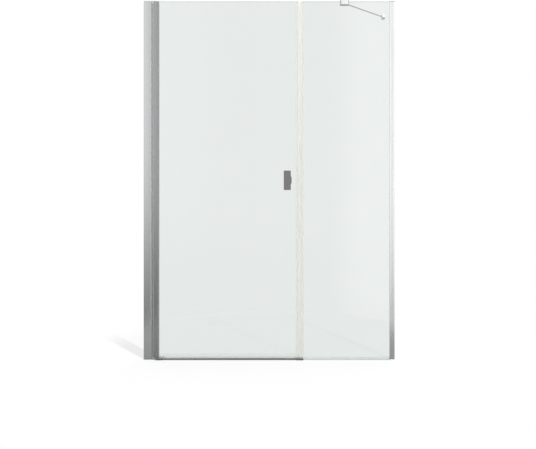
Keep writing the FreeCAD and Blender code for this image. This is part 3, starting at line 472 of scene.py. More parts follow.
JAMB_SATIN = Metal("jamb_satin", "profile_aluminium", (0.645, 0.65, 0.655), 0.24, Grain.UPRIGHT)
# Painted highlight: a lighter copy of the jamb's aluminium for its rounded nose
NOSE_PAINTED_HIGHLIGHT = Metal("jamb_nose", "profile_aluminium", (0.80, 0.805, 0.81), 0.24, Grain.UPRIGHT)
HINGE_SATIN = Metal("hinge_satin", "profile_aluminium", (0.44, 0.445, 0.45), 0.26, Grain.UPRIGHT)
# Painted highlight: a lighter copy of the hinge aluminium for the barrel on the same extrusion
BARREL_PAINTED_HIGHLIGHT = Metal("barrel_painted_highlight", "profile_aluminium", (0.55, 0.555, 0.56), 0.26, Grain.UPRIGHT)
PANEL_SATIN = Metal("panel_satin", "profile_aluminium", (0.66, 0.67, 0.67), 0.24, Grain.UPRIGHT)
# Threshold aluminium as two copies: a darker one as painted shade on its face and slope, a lighter one as
# painted light on its level crown
THRESHOLD_PAINTED_SHADE = Metal("threshold_painted_shade", "threshold_aluminium", (0.34, 0.345, 0.35), 0.22, Grain.LEVEL)
CROWN_PAINTED_LIGHT = Metal("crown_painted_light", "threshold_aluminium", (0.86, 0.865, 0.87), 0.22, Grain.LEVEL)
PIVOT_CAST = Metal("pivot_cast", "pivot_metal", (0.50, 0.50, 0.51), 0.38, Grain.POLISHED)
PIVOT_SATIN = Metal("pivot_satin", "pivot_metal", (0.66, 0.665, 0.67), 0.3, Grain.POLISHED)
SCREW_STEEL = Metal("screw_steel", "fastener_steel", (0.60, 0.60, 0.61), 0.25, Grain.POLISHED)
STAY_CHROME = Metal(
    "bright_chrome", "stay_chrome", (0.78, 0.785, 0.79), 0.16, Grain.POLISHED, swing=0.02, line_strength=0.02
)
HANDLE_CHROME = Metal(
    "handle_chrome", "handle_metal", (0.305, 0.305, 0.31), 0.16, Grain.POLISHED, line_strength=0.02
)
CAP_PALE = Moulded("cap_pale", "cap_plastic", (0.27, 0.27, 0.275), 0.5)
SLEEVE_DARK = Moulded("sleeve_dark", "cap_plastic", (0.11, 0.11, 0.115), 0.5)
# Painted light: a bright metal copy for the level tops of the sleeves
SLEEVE_CROWN_PAINTED_LIGHT = Metal("sleeve_crown_painted_light", "cap_plastic", (0.70, 0.705, 0.71), 0.3, Grain.LEVEL)
BUSH_WHITE = Moulded(
    "bush_white", "bush_polymer", (0.80, 0.80, 0.78), 0.42, grain=900.0, grain_strength=0.12
)
GASKET_PALE = Moulded("gasket_pale", "gasket_rubber", (0.40, 0.40, 0.405), 0.62)
MAGNET_PALE = Moulded("magnet_pale", "magnet_strip", (0.73, 0.735, 0.71), 0.55, grain=700.0)
PANE_CLEAR = Glass("pane_clear", "clear_glass", (0.805, 0.835, 0.828), 0.0)
PANE_EDGE = Glass("pane_edge", "clear_glass", (0.42, 0.58, 0.51), 0.35, clear_share=0.4)
SEAL_UPRIGHT = ClearSeal("seal_upright", "clear_seal", (0.932, 0.93, 0.91), 0.2, Grain.DRAWN_UPRIGHT)
SEAL_LEVEL = ClearSeal(
    "seal_level", "clear_seal", (0.96, 0.965, 0.965), 0.06, Grain.DRAWN_LEVEL, clear_share=0.99
)
# Painted shade: a dark, mostly opaque copy of the clear seal for the toe that lies on the floor
SEAL_TOE_PAINTED_SHADE = ClearSeal(
    "seal_toe_painted_shade", "clear_seal", (0.47, 0.475, 0.47), 0.35, Grain.DRAWN_LEVEL, clear_share=0.3
)


class Solid:
    """A closed mesh in the making, in millimetres of the part's frame."""

    def __init__(self) -> None:
        """Start with an empty mesh."""
        self.bm = bmesh.new()

    @classmethod
    def prism(cls, axis: Axis, outline: Iterable[Corner], low: float, high: float) -> "Solid":
        """Draw a closed outline out along an axis.

        Args:
            axis: Axis that the outline is drawn out along.
            outline: Corners across the axis, each with the setback of its rounding where it has one.
            low: Where the solid starts on the axis.
            high: Where it ends.

        Returns:
            The closed solid.
        """
        solid = cls()
        corners = [(solid.bm.verts.new(axis.at(u, v, low)), setback) for u, v, *setback in outline]
        solid.bm.faces.new([vert for vert, _ in corners])
        for vert, setback in corners:
            if setback:
                solid.bevel([vert], setback[0], ROUND_SEGMENTS, Rounding.CORNERS)
        solid.draw_out(axis.at(0, 0, high - low))
        return solid

    @classmethod
    def tube(
        cls, axis: Axis, outline: Iterable[Corner], hollow: Iterable[Corner], low: float, high: float
    ) -> "Solid":
        """Return an outline drawn out along an axis, with a hollow through its full length."""
        room = cls.prism(axis, hollow, low - OVERRUN, high + OVERRUN)
        return cls.prism(axis, outline, low, high).cut(room)

    @classmethod
    def bar(
        cls, axis: Axis, centre: Corner, radius: float, low: float, high: float, sides: int = TURN_STEPS
    ) -> "Solid":
        """Draw a round or regular bar out along an axis.

        Args:
            axis: Axis of the bar.
            centre: Middle of the bar across the axis.
            radius: Radius to its corners.
            low: Where the bar starts on the axis.
            high: Where it ends.
            sides: Number of its sides.

        Returns:
            The closed solid.
        """
        solid = cls()
        place = Matrix.Translation(axis.at(*centre, low)) @ axis.facing()
        bmesh.ops.create_circle(solid.bm, cap_ends=True, radius=radius, segments=sides, matrix=place)
        solid.draw_out(axis.at(0, 0, high - low))
        return solid

    @classmethod
    def turned(cls, axis: Axis, centre: Corner, outline: Iterable[Corner]) -> "Solid":
        """Turn a half section fully about an axis.

        Args:
            axis: Axis of the turn.
            centre: Place of the axis in the plane across it.
            outline: Radius and place on the axis of each corner, from the axis back to the axis.

        Returns:
            The closed solid.
        """
        solid = cls()
        u, v = centre
        verts = [solid.bm.verts.new(axis.at(u + radius, v, along)) for radius, along in outline]
        edges = [solid.bm.edges.new(pair) for pair in zip(verts, verts[1:])]
        bmesh.ops.spin(
            solid.bm, geom=verts + edges, cent=axis.at(u, v, 0), axis=axis.at(0, 0, 1),
            angle=math.tau, steps=TURN_STEPS, use_merge=True,
        )
        solid.tidy()
        return solid

    @classmethod
    def gather(cls, solids: Iterable["Solid"]) -> "Solid":
        """Take solids together as separate shells of one.

        Args:
            solids: The solids, which are used up.

        Returns:
            The gathered solid.
        """
        whole = cls()
        for solid in solids:
            mesh = solid.mesh("scratch")
            whole.bm.from_mesh(mesh)
            bpy.data.meshes.remove(mesh)
        return whole

    def tidy(self) -> None:
        """Merge doubles, drop corners on straight edges and turn all faces outwards."""
        bmesh.ops.remove_doubles(self.bm, verts=self.bm.verts[:], dist=MERGE_DISTANCE)
        straight = [
            vert
            for vert in self.bm.verts
            if len(vert.link_edges) == 2 and vert.calc_edge_angle(math.pi) < STRAIGHT_ANGLE
        ]
        bmesh.ops.dissolve_verts(self.bm, verts=straight)
        bmesh.ops.recalc_face_normals(self.bm, faces=self.bm.faces[:])

    def draw_out(self, way: Vector) -> None:
        """Extrude the flat outline into a closed solid.

        Args:
            way: Direction and length of the extrusion.
        """
        grown = bmesh.ops.extrude_face_region(self.bm, geom=self.bm.faces[:])
        moved = [item for item in grown["geom"] if isinstance(item, bmesh.types.BMVert)]
        bmesh.ops.translate(self.bm, verts=moved, vec=way)
        bmesh.ops.recalc_face_normals(self.bm, faces=self.bm.faces[:])

    def bevel(
        self, geom: list[bmesh.types.BMVert] | list[bmesh.types.BMEdge], offset: float,
        segments: int, rounding: Rounding,
    ) -> None:
        """Bevel corners or edges with a round profile.

        Args:
            geom: Vertices or edges.
            offset: Width of the bevel.
            segments: Faces across the bevel.
            rounding: Which of the two it rounds.
        """
        affect, offset_type = rounding.value
        bmesh.ops.bevel(
            self.bm, geom=geom, offset=offset, offset_type=offset_type, affect=affect,
            segments=segments, profile=0.5, material=-1, clamp_overlap=True,
        )

    def soften(
        self, width: float, segments: int = 2, where: Callable[[Vector], bool] | None = None
    ) -> "Solid":
        """Bevel the outer creases.

        Args:
            width: Width of the bevel.
            segments: Faces across the bevel.
            where: Test of an edge's middle that chooses the edges, or None for all of them.

        Returns:
            The solid itself.
        """
        creases = [
            edge
            for edge in self.bm.edges
            if edge.is_manifold
            and edge.calc_face_angle_signed() > CREASE_ANGLE
            and (where is None or where((edge.verts[0].co + edge.verts[1].co) / 2))
        ]
        self.bevel(creases, width, segments, Rounding.EDGES)
        self.tidy()
        return self

    def turn(self, angle: float, centre: Vector) -> "Solid":
        """Turn the solid about an upright axis.

        Args:
            angle: Angle in radians.
            centre: Point on the axis.

        Returns:
            The solid itself.
        """
        bmesh.ops.rotate(
            self.bm, verts=self.bm.verts[:], cent=centre, matrix=Matrix.Rotation(angle, 3, "Z")
        )
        return self

    def flip(self, height: float) -> "Solid":
        """Mirror the solid from the floor to a height.

        Args:
            height: Height that the floor goes to.

        Returns:
            The solid itself.
        """
        bmesh.ops.scale(self.bm, vec=(1, 1, -1), verts=self.bm.verts[:])
        bmesh.ops.translate(self.bm, vec=(0, 0, height), verts=self.bm.verts[:])
        bmesh.ops.recalc_face_normals(self.bm, faces=self.bm.faces[:])
        return self

    def mesh(self, name: str) -> bpy.types.Mesh:
        """Return the finished mesh, which uses the solid up.

        Args:
            name: Name of the mesh.

        Returns:
            The mesh.
        """
        made = bpy.data.meshes.new(name)
        self.bm.to_mesh(made)
        self.bm.free()
        return made

    def combine(self, combining: Combining, tools: Iterable["Solid"]) -> "Solid":
        """Cut other solids from this one, or join them to it.

        Args:
            combining: Which of the two.
            tools: The other solids, which are used up.

        Returns:
            The solid itself.
        """
        passing = [placed("scratch", self.mesh("scratch"))]
        for tool in tools:
            passing.append(placed("scratch", tool.mesh("scratch")))
            modifier = passing[0].modifiers.new("combine", "BOOLEAN")
            modifier.operation = combining.value
            modifier.solver = "EXACT"
            modifier.object = passing[-1]
        evaluated = passing[0].evaluated_get(bpy.context.evaluated_depsgraph_get())
        self.bm = bmesh.new()
        self.bm.from_mesh(evaluated.to_mesh())
        evaluated.to_mesh_clear()
        for item in passing:
            bpy.data.meshes.remove(item.data)
        self.tidy()
        return self

    def cut(self, *tools: "Solid") -> "Solid":
        """Take other solids away."""
        return self.combine(Combining.CUT, tools)

    def join(self, *tools: "Solid") -> "Solid":
        """Grow together with other solids."""
        return self.combine(Combining.JOIN, tools)

    def mark(self, index: int, chosen: Callable[[bmesh.types.BMFace], bool]) -> "Solid":
        """Give chosen faces another finish of the piece.

        Args:
            index: Place of the finish in the piece's list.
            chosen: Test of a face.

        Returns:
            The solid itself.
        """
        for face in self.bm.faces:
            if chosen(face):
                face.material_index = index
        return self

    def piece(self, name: str, body: Body, finishes: Sequence[Finish], *nodes: str) -> None:
        """Write the solid as a piece of the part, which uses the solid up.

        Args:
            name: Name of the piece.
            body: Body that it rides on.
            finishes: Finishes of its faces, the main one first.
            *nodes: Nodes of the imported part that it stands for.
        """
        bmesh.ops.scale(self.bm, vec=(MM, MM, MM), verts=self.bm.verts[:])
        mesh = self.mesh(name)
        for finish in finishes:
            mesh.materials.append(finish.material())
        mesh.shade_smooth()
        mesh.set_sharp_from_angle(angle=SHARP_ANGLE)
        made = placed(name, mesh)
        made.modifiers.new("flat_faces", "WEIGHTED_NORMAL").keep_sharp = True
        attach(made, body.value)
        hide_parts(*nodes)
        LOG.info("%s rides on %s for %s", name, body.value, ", ".join(nodes))


def span(node: str) -> tuple[Vector, Vector]:
    """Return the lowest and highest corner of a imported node, in millimetres."""
    low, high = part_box(node)
    return low / MM, high / MM


def middle(node: str) -> Vector:
    """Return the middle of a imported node's box, in millimetres."""
    low, high = span(node)
    return (low + high) / 2


def dress(finish: Finish, *nodes: str) -> None:
    """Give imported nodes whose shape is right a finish.

    Args:
        finish: The finish.
        *nodes: Names of the nodes.
    """
    for name in nodes:
        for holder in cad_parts[name].material_slots:
            holder.material = finish.material()
        LOG.info("%s keeps its shape with %s", name, finish.name)


def rect(u_low: float, v_low: float, u_high: float, v_high: float) -> list[Corner]:
    """Return the corners of an upright rectangle."""
    return [(u_low, v_low), (u_high, v_low), (u_high, v_high), (u_low, v_high)]


def shifted(outline: Iterable[Corner], centre: Vector) -> list[Corner]:
    """Return an outline in the plane of the glass, moved to a centre."""
    return [(u + centre.x, v + centre.z, *setback) for u, v, *setback in outline]


def heights(margin: float, count: int, top: float) -> list[float]:
    """Return an even column of heights that keeps a margin to the floor and to the top."""
    return [margin + (top - 2 * margin) * number / (count - 1) for number in range(count)]


def upward(face: bmesh.types.BMFace) -> bool:
    """Tell whether a face lies level and looks up."""
    return face.normal.z > FLAT_SHARE


def bowed(left: float, right: float, front: float, bow: float, steps: int = BOW_STEPS) -> list[Corner]:
    """Return places along a face that bows towards the room.

    Args:
        left: Left end of the face.
        right: Right end of the face.
        front: Foremost place of the face.
        bow: How far the ends fall back behind the foremost place.
        steps: Number of strips across the face.

    Returns:
        The places between the two ends, ends left out.
    """
    crest, half = (left + right) / 2, (right - left) / 2
    places = [left + (right - left) * number / steps for number in range(1, steps)]
    return [(place, front + bow * ((place - crest) / half) ** 2) for place in places]


@dataclass(frozen=True)
class PanScrew:
    """Pan head screw with a hexagon socket, driven from the shower side."""

    length: float
    shank_radius: float = 2.0
    head_radius: float = 4.0
    head_height: float = 2.2
    shoulder: float = 1.1
    crown: float = 1.1 / 3
    socket_radius: float = 1.5
    socket_depth: float = 1.3

    def solid(self, centre: Corner, seat: float) -> Solid:
        """Build the screw.

        Args:
            centre: Place of its axis, across the room and in height.
            seat: Face that its head sits on.

        Returns:
            The screw.
        """
        back, tip = seat + self.head_height, seat - self.length
        outline = [
            (0.0, tip), (self.shank_radius, tip), (self.shank_radius, seat), (self.head_radius, seat),
            (self.head_radius, back - self.shoulder),
            (self.head_radius - self.crown, back - self.crown),
            (self.head_radius - self.shoulder, back), (0.0, back),
        ]
        return socketed(Axis.Y, centre, outline, self.socket_radius, self.socket_depth)


@dataclass(frozen=True)
class GrubScrew:
    """Headless screw with a hexagon socket in its back end."""

    radius: float
    socket_radius: float
    socket_depth: float
    rim: float = 0.3

    def solid(self, axis: Axis, centre: Corner, tip: float, back: float) -> Solid:
        """Build the screw.

        Args:
            axis: Axis of the screw.
            centre: Place of the axis in the plane across it.
            tip: Where the screw ends on the axis.
            back: Where its socket opens.

        Returns:
            The screw.
        """
        outline = [
            (0.0, tip), (self.radius, tip), (self.radius, back - self.rim),
            (self.radius - self.rim, back), (0.0, back),
        ]
        return socketed(axis, centre, outline, self.socket_radius, self.socket_depth)


def socketed(axis: Axis, centre: Corner, outline: list[Corner], socket: float, depth: float) -> Solid:
    """Turn a screw and cut a hexagon socket in its back end.

    Args:
        axis: Axis of the screw.
        centre: Place of the axis in the plane across it.
        outline: Half section of the screw, which ends in the middle of its back.
        socket: Radius of the socket's corners.
        depth: Depth of the socket.

    Returns:
        The screw.
    """
    back = outline[-1][1]
    hexagon = Solid.bar(axis, centre, socket, back - depth, back + depth, HEXAGON)
    return Solid.turned(axis, centre, outline).cut(hexagon)


@dataclass
class HingeSide:
    """Jamb on the hinge wall with its pivot brackets, lock screws and bulb seal."""

    wall: float = 1.8
    chamber: float = 8.0
    nose: float = 6.0
    edge: float = 1.2
    bow: float = 0.7
    plug_gap: float = 0.2
    plug_length: float = 15.0
    plate: float = 5.0
    arm: float = 9.6
    pin_bore: float = 3.05
    screw: PanScrew = PanScrew(length=8.0)
    screw_margin: float = 250.0
    screw_count: int = 4
    bulb_wall: float = 1.2
    foot_half: float = 6.0
    foot_thick: float = 1.1

    def __post_init__(self) -> None:
        """Read the places of the jamb and of the hinge axis."""
        self.low, self.high = span("hinge_jamb")
        self.pivot = middle("bottom_pivot_pin")
        self.top = span("top_pivot_bracket")[1].z

    def chamber_outline(self, gap: float) -> list[Corner]:
        """Work out the outline of the closed chamber.

        Args:
            gap: How far the outline is drawn in.

        Returns:
            Its corners.
        """
        right = self.high.x - self.wall - gap
        left = self.high.x - self.wall - self.chamber + gap
        half = self.high.y - self.wall - gap
        return [(left, -half), (right, -half, self.nose - self.wall), (right, half), (left, half)]

    def jamb(self) -> None:
        """Build the jamb: a channel open to the wall, a closed chamber and a round nose."""
        left, right, front, rear = self.low.x, self.high.x, self.low.y, self.high.y
        inner = rear - self.wall
        web = right - 2 * self.wall - self.chamber
        sunk = front + self.bow
        outline = [
            (left, sunk, self.edge), *bowed(left, right, front, self.bow),
            (right, sunk, self.nose), (right, rear, self.edge), (left, rear, self.edge),
            (left, inner), (web, inner), (web, -inner), (left, -inner),
        ]
        solid = Solid.tube(Axis.Z, outline, self.chamber_outline(0.0), self.low.z, self.high.z)
        # Painted highlight: faces of the nose turned to the front right get the lighter copy of the
        # aluminium
        solid.mark(1, lambda face: face.normal.x > NOSE_TURN and face.normal.y < -NOSE_TURN)
        solid.piece("jamb_extrusion", Body.FRAME, [JAMB_SATIN, NOSE_PAINTED_HIGHLIGHT], "hinge_jamb")
        dress(JAMB_SATIN, "hinge_wall_channel")

    def bracket(self, end: float) -> Solid:
        """Build a lower pivot bracket: end plate, plug and arm around the pin.

        Args:
            end: Where the arm ends beyond the pin.

        Returns:
            The bracket.
        """
        x, y = self.pivot.x, self.pivot.y
        reach = y - span("bottom_pivot_bracket")[0].y
        left, right, front, rear = self.low.x, self.high.x, self.low.y, self.high.y
        outline = [(left, front, self.edge), (right, front), (right, rear), (left, rear, self.edge)]
        start, tip = self.plate - OVERRUN, self.plate + self.plug_length
        plug = Solid.prism(Axis.Z, self.chamber_outline(self.plug_gap), start, tip)
        arm = Solid.prism(Axis.Z, rect(right - self.wall, y - reach, end, y + reach), 0.0, self.arm)
        knuckle = Solid.bar(Axis.Z, (x, y), reach, 0.0, self.arm)
        bore = Solid.bar(Axis.Z, (x, y), self.pin_bore, -OVERRUN, self.arm + OVERRUN)
        return Solid.prism(Axis.Z, outline, 0.0, self.plate).join(plug, arm, knuckle).cut(bore)

    def brackets(self) -> None:
        """Build the pivot brackets at both ends of the jamb."""
        low = self.bracket(span("bottom_pivot_bracket")[1].x).soften(SOFT_EDGE)
        low.piece("lower_pivot", Body.FRAME, [PIVOT_CAST], "bottom_pivot_bracket")
        high = self.bracket(self.pivot.x).flip(self.top).soften(SOFT_EDGE)
        high.piece("upper_pivot", Body.FRAME, [PIVOT_SATIN], "top_pivot_bracket")
        dress(SCREW_STEEL, "bottom_pivot_pin", "top_pivot_pin")

    def bulb_seal(self) -> None:
        """Build the hollow bulb on its foot."""
        low, high = span("hinge_bulb_seal")
        centre = middle("hinge_bulb_seal").xy
        radius = (high.x - low.x) / 2 - NEAR
        foot = rect(low.x, centre.y - self.foot_half, low.x + self.foot_thick, centre.y + self.foot_half)
        hollow = Solid.bar(Axis.Z, centre, radius - self.bulb_wall, low.z - OVERRUN, high.z + OVERRUN)
        solid = Solid.bar(Axis.Z, centre, radius, low.z, high.z)
        solid.join(Solid.prism(Axis.Z, foot, low.z, high.z)).cut(hollow)
        solid.piece("bulb_seal", Body.FRAME, [SEAL_UPRIGHT], "hinge_bulb_seal")

    def build(self) -> None:
        """Build and dress the hinge side."""
        self.jamb()
        self.brackets()
        self.bulb_seal()
        column = heights(self.screw_margin, self.screw_count, self.top)
        x, seat = middle("jamb_lock_screws").x, self.high.y
        screws = Solid.gather(self.screw.solid((x, height), seat) for height in column)
        screws.piece("jamb_screws", Body.FRAME, [SCREW_STEEL], "jamb_lock_screws")


@dataclass
class Pane:
    """Toughened glass pane with ground edges."""

    node: str
    name: str
    body: Body
    arris: float = 0.8
    hole_radius: float = 6.0

    def build(self, holes: Sequence[Corner] = ()) -> None:
        """Build the pane.

        Args:
            holes: Places of its drilled holes.
        """
        low, high = span(self.node)
        solid = Solid.prism(Axis.Y, rect(low.x, low.z, high.x, high.z), low.y, high.y)
        if holes:
            drills = [
                Solid.bar(Axis.Y, hole, self.hole_radius, low.y - OVERRUN, high.y + OVERRUN)
                for hole in holes
            ]
            solid.cut(*drills)
        faces = (low.y, high.y)
        solid.soften(
            self.arris, segments=1,
            where=lambda place: min(abs(place.y - face) for face in faces) < NEAR,
        )
        solid.mark(1, lambda face: abs(face.normal.y) < FLAT_SHARE)
        solid.piece(self.name, self.body, [PANE_CLEAR, PANE_EDGE], self.node)


@dataclass
class DoorLeaf:
    """Swinging leaf: hinge profile with its barrel, caps, gasket, pane and seals."""

    barrel_bore: float = 4.55
    barrel_radius: float = 6.0
    neck_thick: float = 5.0
    edge: float = 1.0
    bow: float = 1.0
    glass_gap: float = 0.15
    gasket_bevel: float = 1.4
    screw: GrubScrew = GrubScrew(radius=2.5, socket_radius=1.4, socket_depth=1.5)
    screw_bore: float = 2.55
    screw_margin: float = 100.0
    screw_count: int = 5
    carrier_wall: float = 1.2
    carrier_round: float = 0.7
    fin: float = 1.6
    drip_root: float = 1.1
    drip_thick: float = 1.4
    handle_screw_half: float = 28.0

    def __post_init__(self) -> None:
        """Read the places of the leaf's pieces."""
        self.low, self.high = span("hinge_top_cap")
        self.foot_low, self.foot_high = span("hinge_bottom_cap")
        self.gasket_low, self.gasket_high = span("door_gasket")
        self.bar_face = span("door_clamp_bar")[1].y
        self.glass_low, self.glass_high = span("door_glass")
        self.pivot = middle("bottom_pivot_pin")
        self.screw_x = (self.gasket_low.x + self.high.x) / 2
        self.column = heights(self.screw_margin, self.screw_count, self.high.z)

    def hinge_profile(self) -> None:
        """Build the hinge profile: a slot for the glass and a barrel on a neck along its front."""
        left, right, front, rear = self.low.x, self.high.x, self.low.y, self.high.y
        slot, mouth = self.gasket_low.x, self.gasket_low.y
        both_halves = bowed(2 * left - right, right, front, self.bow, 2 * BOW_STEPS)
        falling = [place for place in both_halves if place[0] > left + NEAR]
        outline = [
            (left, front), *falling,
            (right, front + self.bow, self.edge), (right, mouth), (slot, mouth), (slot, self.bar_face),
            (right, self.bar_face), (right, rear, self.edge), (left, rear, self.edge),
        ]
        bottom, crown = self.foot_low.z, self.high.z - self.foot_low.z
        axis = (self.pivot.x, self.pivot.y)
        neck = rect(self.pivot.x + self.barrel_bore, front, left + OVERRUN, front + self.neck_thick)
        barrel = Solid.bar(Axis.Z, axis, self.barrel_radius, bottom, crown)
        barrel.join(Solid.prism(Axis.Z, neck, bottom, crown))
        bore = Solid.bar(Axis.Z, axis, self.barrel_bore, bottom - OVERRUN, crown + OVERRUN)
        inside, outside = self.bar_face - OVERRUN, rear + OVERRUN
        drills = [
            Solid.bar(Axis.Y, (self.screw_x, height), self.screw_bore, inside, outside, DRILL_STEPS)
            for height in self.column
        ]
        solid = Solid.prism(Axis.Z, outline, self.foot_high.z, self.low.z)
        solid.cut(*drills).join(barrel).cut(bore)
        # Painted highlight: barrel and neck, left of the profile, get the lighter copy of the aluminium
        solid.mark(1, lambda face: face.calc_center_median().x < left - NEAR)
        solid.piece("hinge_extrusion", Body.DOOR, [HINGE_SATIN, BARREL_PAINTED_HIGHLIGHT], "door_hinge_profile")

    def caps(self) -> None:
        """Build the end caps of the hinge profile."""
        left, right, front, rear = self.low.x, self.high.x, self.low.y, self.high.y
        slot = self.glass_low.x - self.glass_gap
        half = self.glass_high.y + self.glass_gap
        outline = [
            (left, front), (right, front, self.edge), (right, -half), (slot, -half), (slot, half),
            (right, half), (right, rear, self.edge), (left, rear, self.edge),
        ]
        top = Solid.prism(Axis.Z, outline, self.low.z, self.high.z).soften(SOFT_EDGE)
        top.piece("hinge_crown_cap", Body.DOOR, [CAP_PALE], "hinge_top_cap")
        outline = [
            (left, front), (right, front, self.edge), (right, rear, self.edge), (left, rear, self.edge)
        ]
        foot = Solid.prism(Axis.Z, outline, self.foot_low.z, self.foot_high.z).soften(SOFT_EDGE)
        foot.piece("hinge_foot_cap", Body.DOOR, [CAP_PALE], "hinge_bottom_cap")
        dress(BUSH_WHITE, "top_hinge_bush", "bottom_hinge_bush")

    def glazing(self) -> None:
        """Build the gasket with its tapered lips and the clamp screws behind it."""
        low, high = self.gasket_low, self.gasket_high
        half = self.glass_high.y
        outline = [
            (low.x, low.y), (high.x, low.y, self.gasket_bevel), (high.x, -half), (self.glass_low.x, -half),
            (self.glass_low.x, half), (high.x, half), (high.x, high.y, self.gasket_bevel), (low.x, high.y),
        ]
        solid = Solid.prism(Axis.Z, outline, low.z, high.z)
        solid.piece("glazing_gasket", Body.DOOR, [GASKET_PALE], "door_gasket")
        screws = Solid.gather(
            self.screw.solid(Axis.Y, (self.screw_x, height), self.bar_face, self.high.y)
            for height in self.column
        )
        screws.piece("clamp_grub_screws", Body.DOOR, [SCREW_STEEL], "door_clamp_screws")
        dress(HINGE_SATIN, "door_clamp_bar")

    def magnet_clip(self) -> None:
        """Build the clear clip on the closing edge, with a chamber for the magnet."""
        low, high = span("door_magnet_carrier")
        half, edge = self.glass_high.y + self.glass_gap, self.glass_high.x + self.glass_gap
        turn = self.carrier_round
        outline = [
            (low.x, low.y, turn), (high.x, low.y, turn), (high.x, high.y, turn), (low.x, high.y, turn),
            (low.x, half), (edge, half), (edge, -half), (low.x, -half),
        ]
        inner, end = edge + self.carrier_wall, high.x - self.carrier_wall
        chamber = rect(inner, self.glass_low.y, end, self.glass_high.y)
        solid = Solid.tube(Axis.Z, outline, chamber, low.z, high.z)
        solid.piece("door_magnet_clip", Body.DOOR, [SEAL_UPRIGHT], "door_magnet_carrier")
        dress(MAGNET_PALE, "door_magnet_strip")

    def sweep(self) -> None:
        """Build the clear sweep under the pane, with its fin and drip lip."""
        low, high = span("door_bottom_seal")
        base, fin = low.z + self.fin, self.fin / 2
        seat = self.glass_low.z - self.glass_gap
        inner, outer = self.glass_high.y + self.glass_gap, -low.y
        turn = self.carrier_round
        outline = [
            (-outer, base, turn), (-fin, base), (-fin, low.z), (fin, low.z), (fin, base), (outer, base),
            (high.y, low.z), (high.y, low.z + self.drip_thick), (outer, self.glass_low.z + self.drip_root),
            (outer, high.z), (inner, high.z), (inner, seat), (-inner, seat), (-inner, high.z),
            (-outer, high.z),
        ]
        solid = Solid.prism(Axis.X, outline, low.x, high.x)
        solid.piece("door_sweep", Body.DOOR, [SEAL_LEVEL], "door_bottom_seal")

    def build(self) -> None:
        """Build and dress the leaf."""
        self.hinge_profile()
        self.caps()
        self.glazing()
        handle = middle("handle_outer_base")
        drilled = [(handle.x, handle.z + side * self.handle_screw_half) for side in (-1, 1)]
        Pane("door_glass", "door_pane", Body.DOOR).build(drilled)
        self.magnet_clip()
        self.sweep()


@dataclass
class Handle:
    """Pair of grip plates on both faces of the door."""

    half_width: float = 19.25
    half_height: float = 54.25
    thick: float = 5.0
    bump: float = 23.75
    crest: float = 17.0
    bump_foot: float = 22.0
    corner: float = 1.5
    swell: float = 3.0
    ridge_left: float = 15.8
    ridge_right: float = 23.5
    ridge_sunk: float = 1.0
    peg_radius: float = 3.0
    peg_half: float = 12.0
    outer_edge: float = 1.1
    plate_strips: int = 3
    grip_strips: int = 4

    def plate(self, node: str, side: Side) -> Solid:
        """Build a plate with its side bump and grip ridge.

        Args:
            node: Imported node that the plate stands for.
            side: Side of the glass that it is on.

        Returns:
            The plate.
        """
        low, high = span(node)
        seat = span("handle_inner_base")[1].y
        crown = high.y if side is Side.SHOWER else low.y
        face = side.value * (seat + self.thick)
        centre = middle("handle_outer_base")
        width, height = self.half_width, self.half_height
        outline = [
            (-width, -height, self.corner), (width, -height, self.corner),
            (width, -self.bump_foot, self.swell), (self.bump, -self.crest, self.swell),
            (self.bump, self.crest, self.swell), (width, self.bump_foot, self.swell),
            (width, height, self.corner), (-width, height, self.corner),
        ]
        ridge = [
            (self.ridge_left, -self.crest, self.corner), (self.ridge_right, -self.crest, self.corner),
            (self.ridge_right, self.crest, self.corner), (self.ridge_left, self.crest, self.corner),
        ]
        solid = Solid.prism(Axis.Y, shifted(outline, centre), side.value * seat, face)
        solid.soften(self.outer_edge, self.plate_strips, lambda place: abs(place.y - face) < NEAR)
        root = face - side.value * self.ridge_sunk
        grip = Solid.prism(Axis.Y, shifted(ridge, centre), root, crown)
        grip.soften(self.outer_edge, self.grip_strips, lambda place: abs(place.y - crown) < NEAR)
        solid.join(grip)
        if side is Side.SHOWER:
            places = [(centre.x, centre.z + way * self.peg_half) for way in (-1, 1)]
            end = face - OVERRUN
            solid.join(*(Solid.bar(Axis.Y, place, self.peg_radius, low.y, end) for place in places))
        return solid

    def build(self) -> None:
        """Build and dress the handle."""
        outer = self.plate("handle_outer_plate", Side.ROOM)
        outer.piece("room_grip", Body.DOOR, [HANDLE_CHROME], "handle_outer_plate")
        inner = self.plate("handle_inner_plate", Side.SHOWER)
        inner.piece("shower_grip", Body.DOOR, [HANDLE_CHROME], "handle_inner_plate")
        dress(HANDLE_CHROME, "handle_outer_base", "handle_inner_base")
        dress(GASKET_PALE, "handle_gaskets")
        dress(BUSH_WHITE, "handle_sleeves")
        dress(SCREW_STEEL, "handle_screws", "handle_plate_screws")


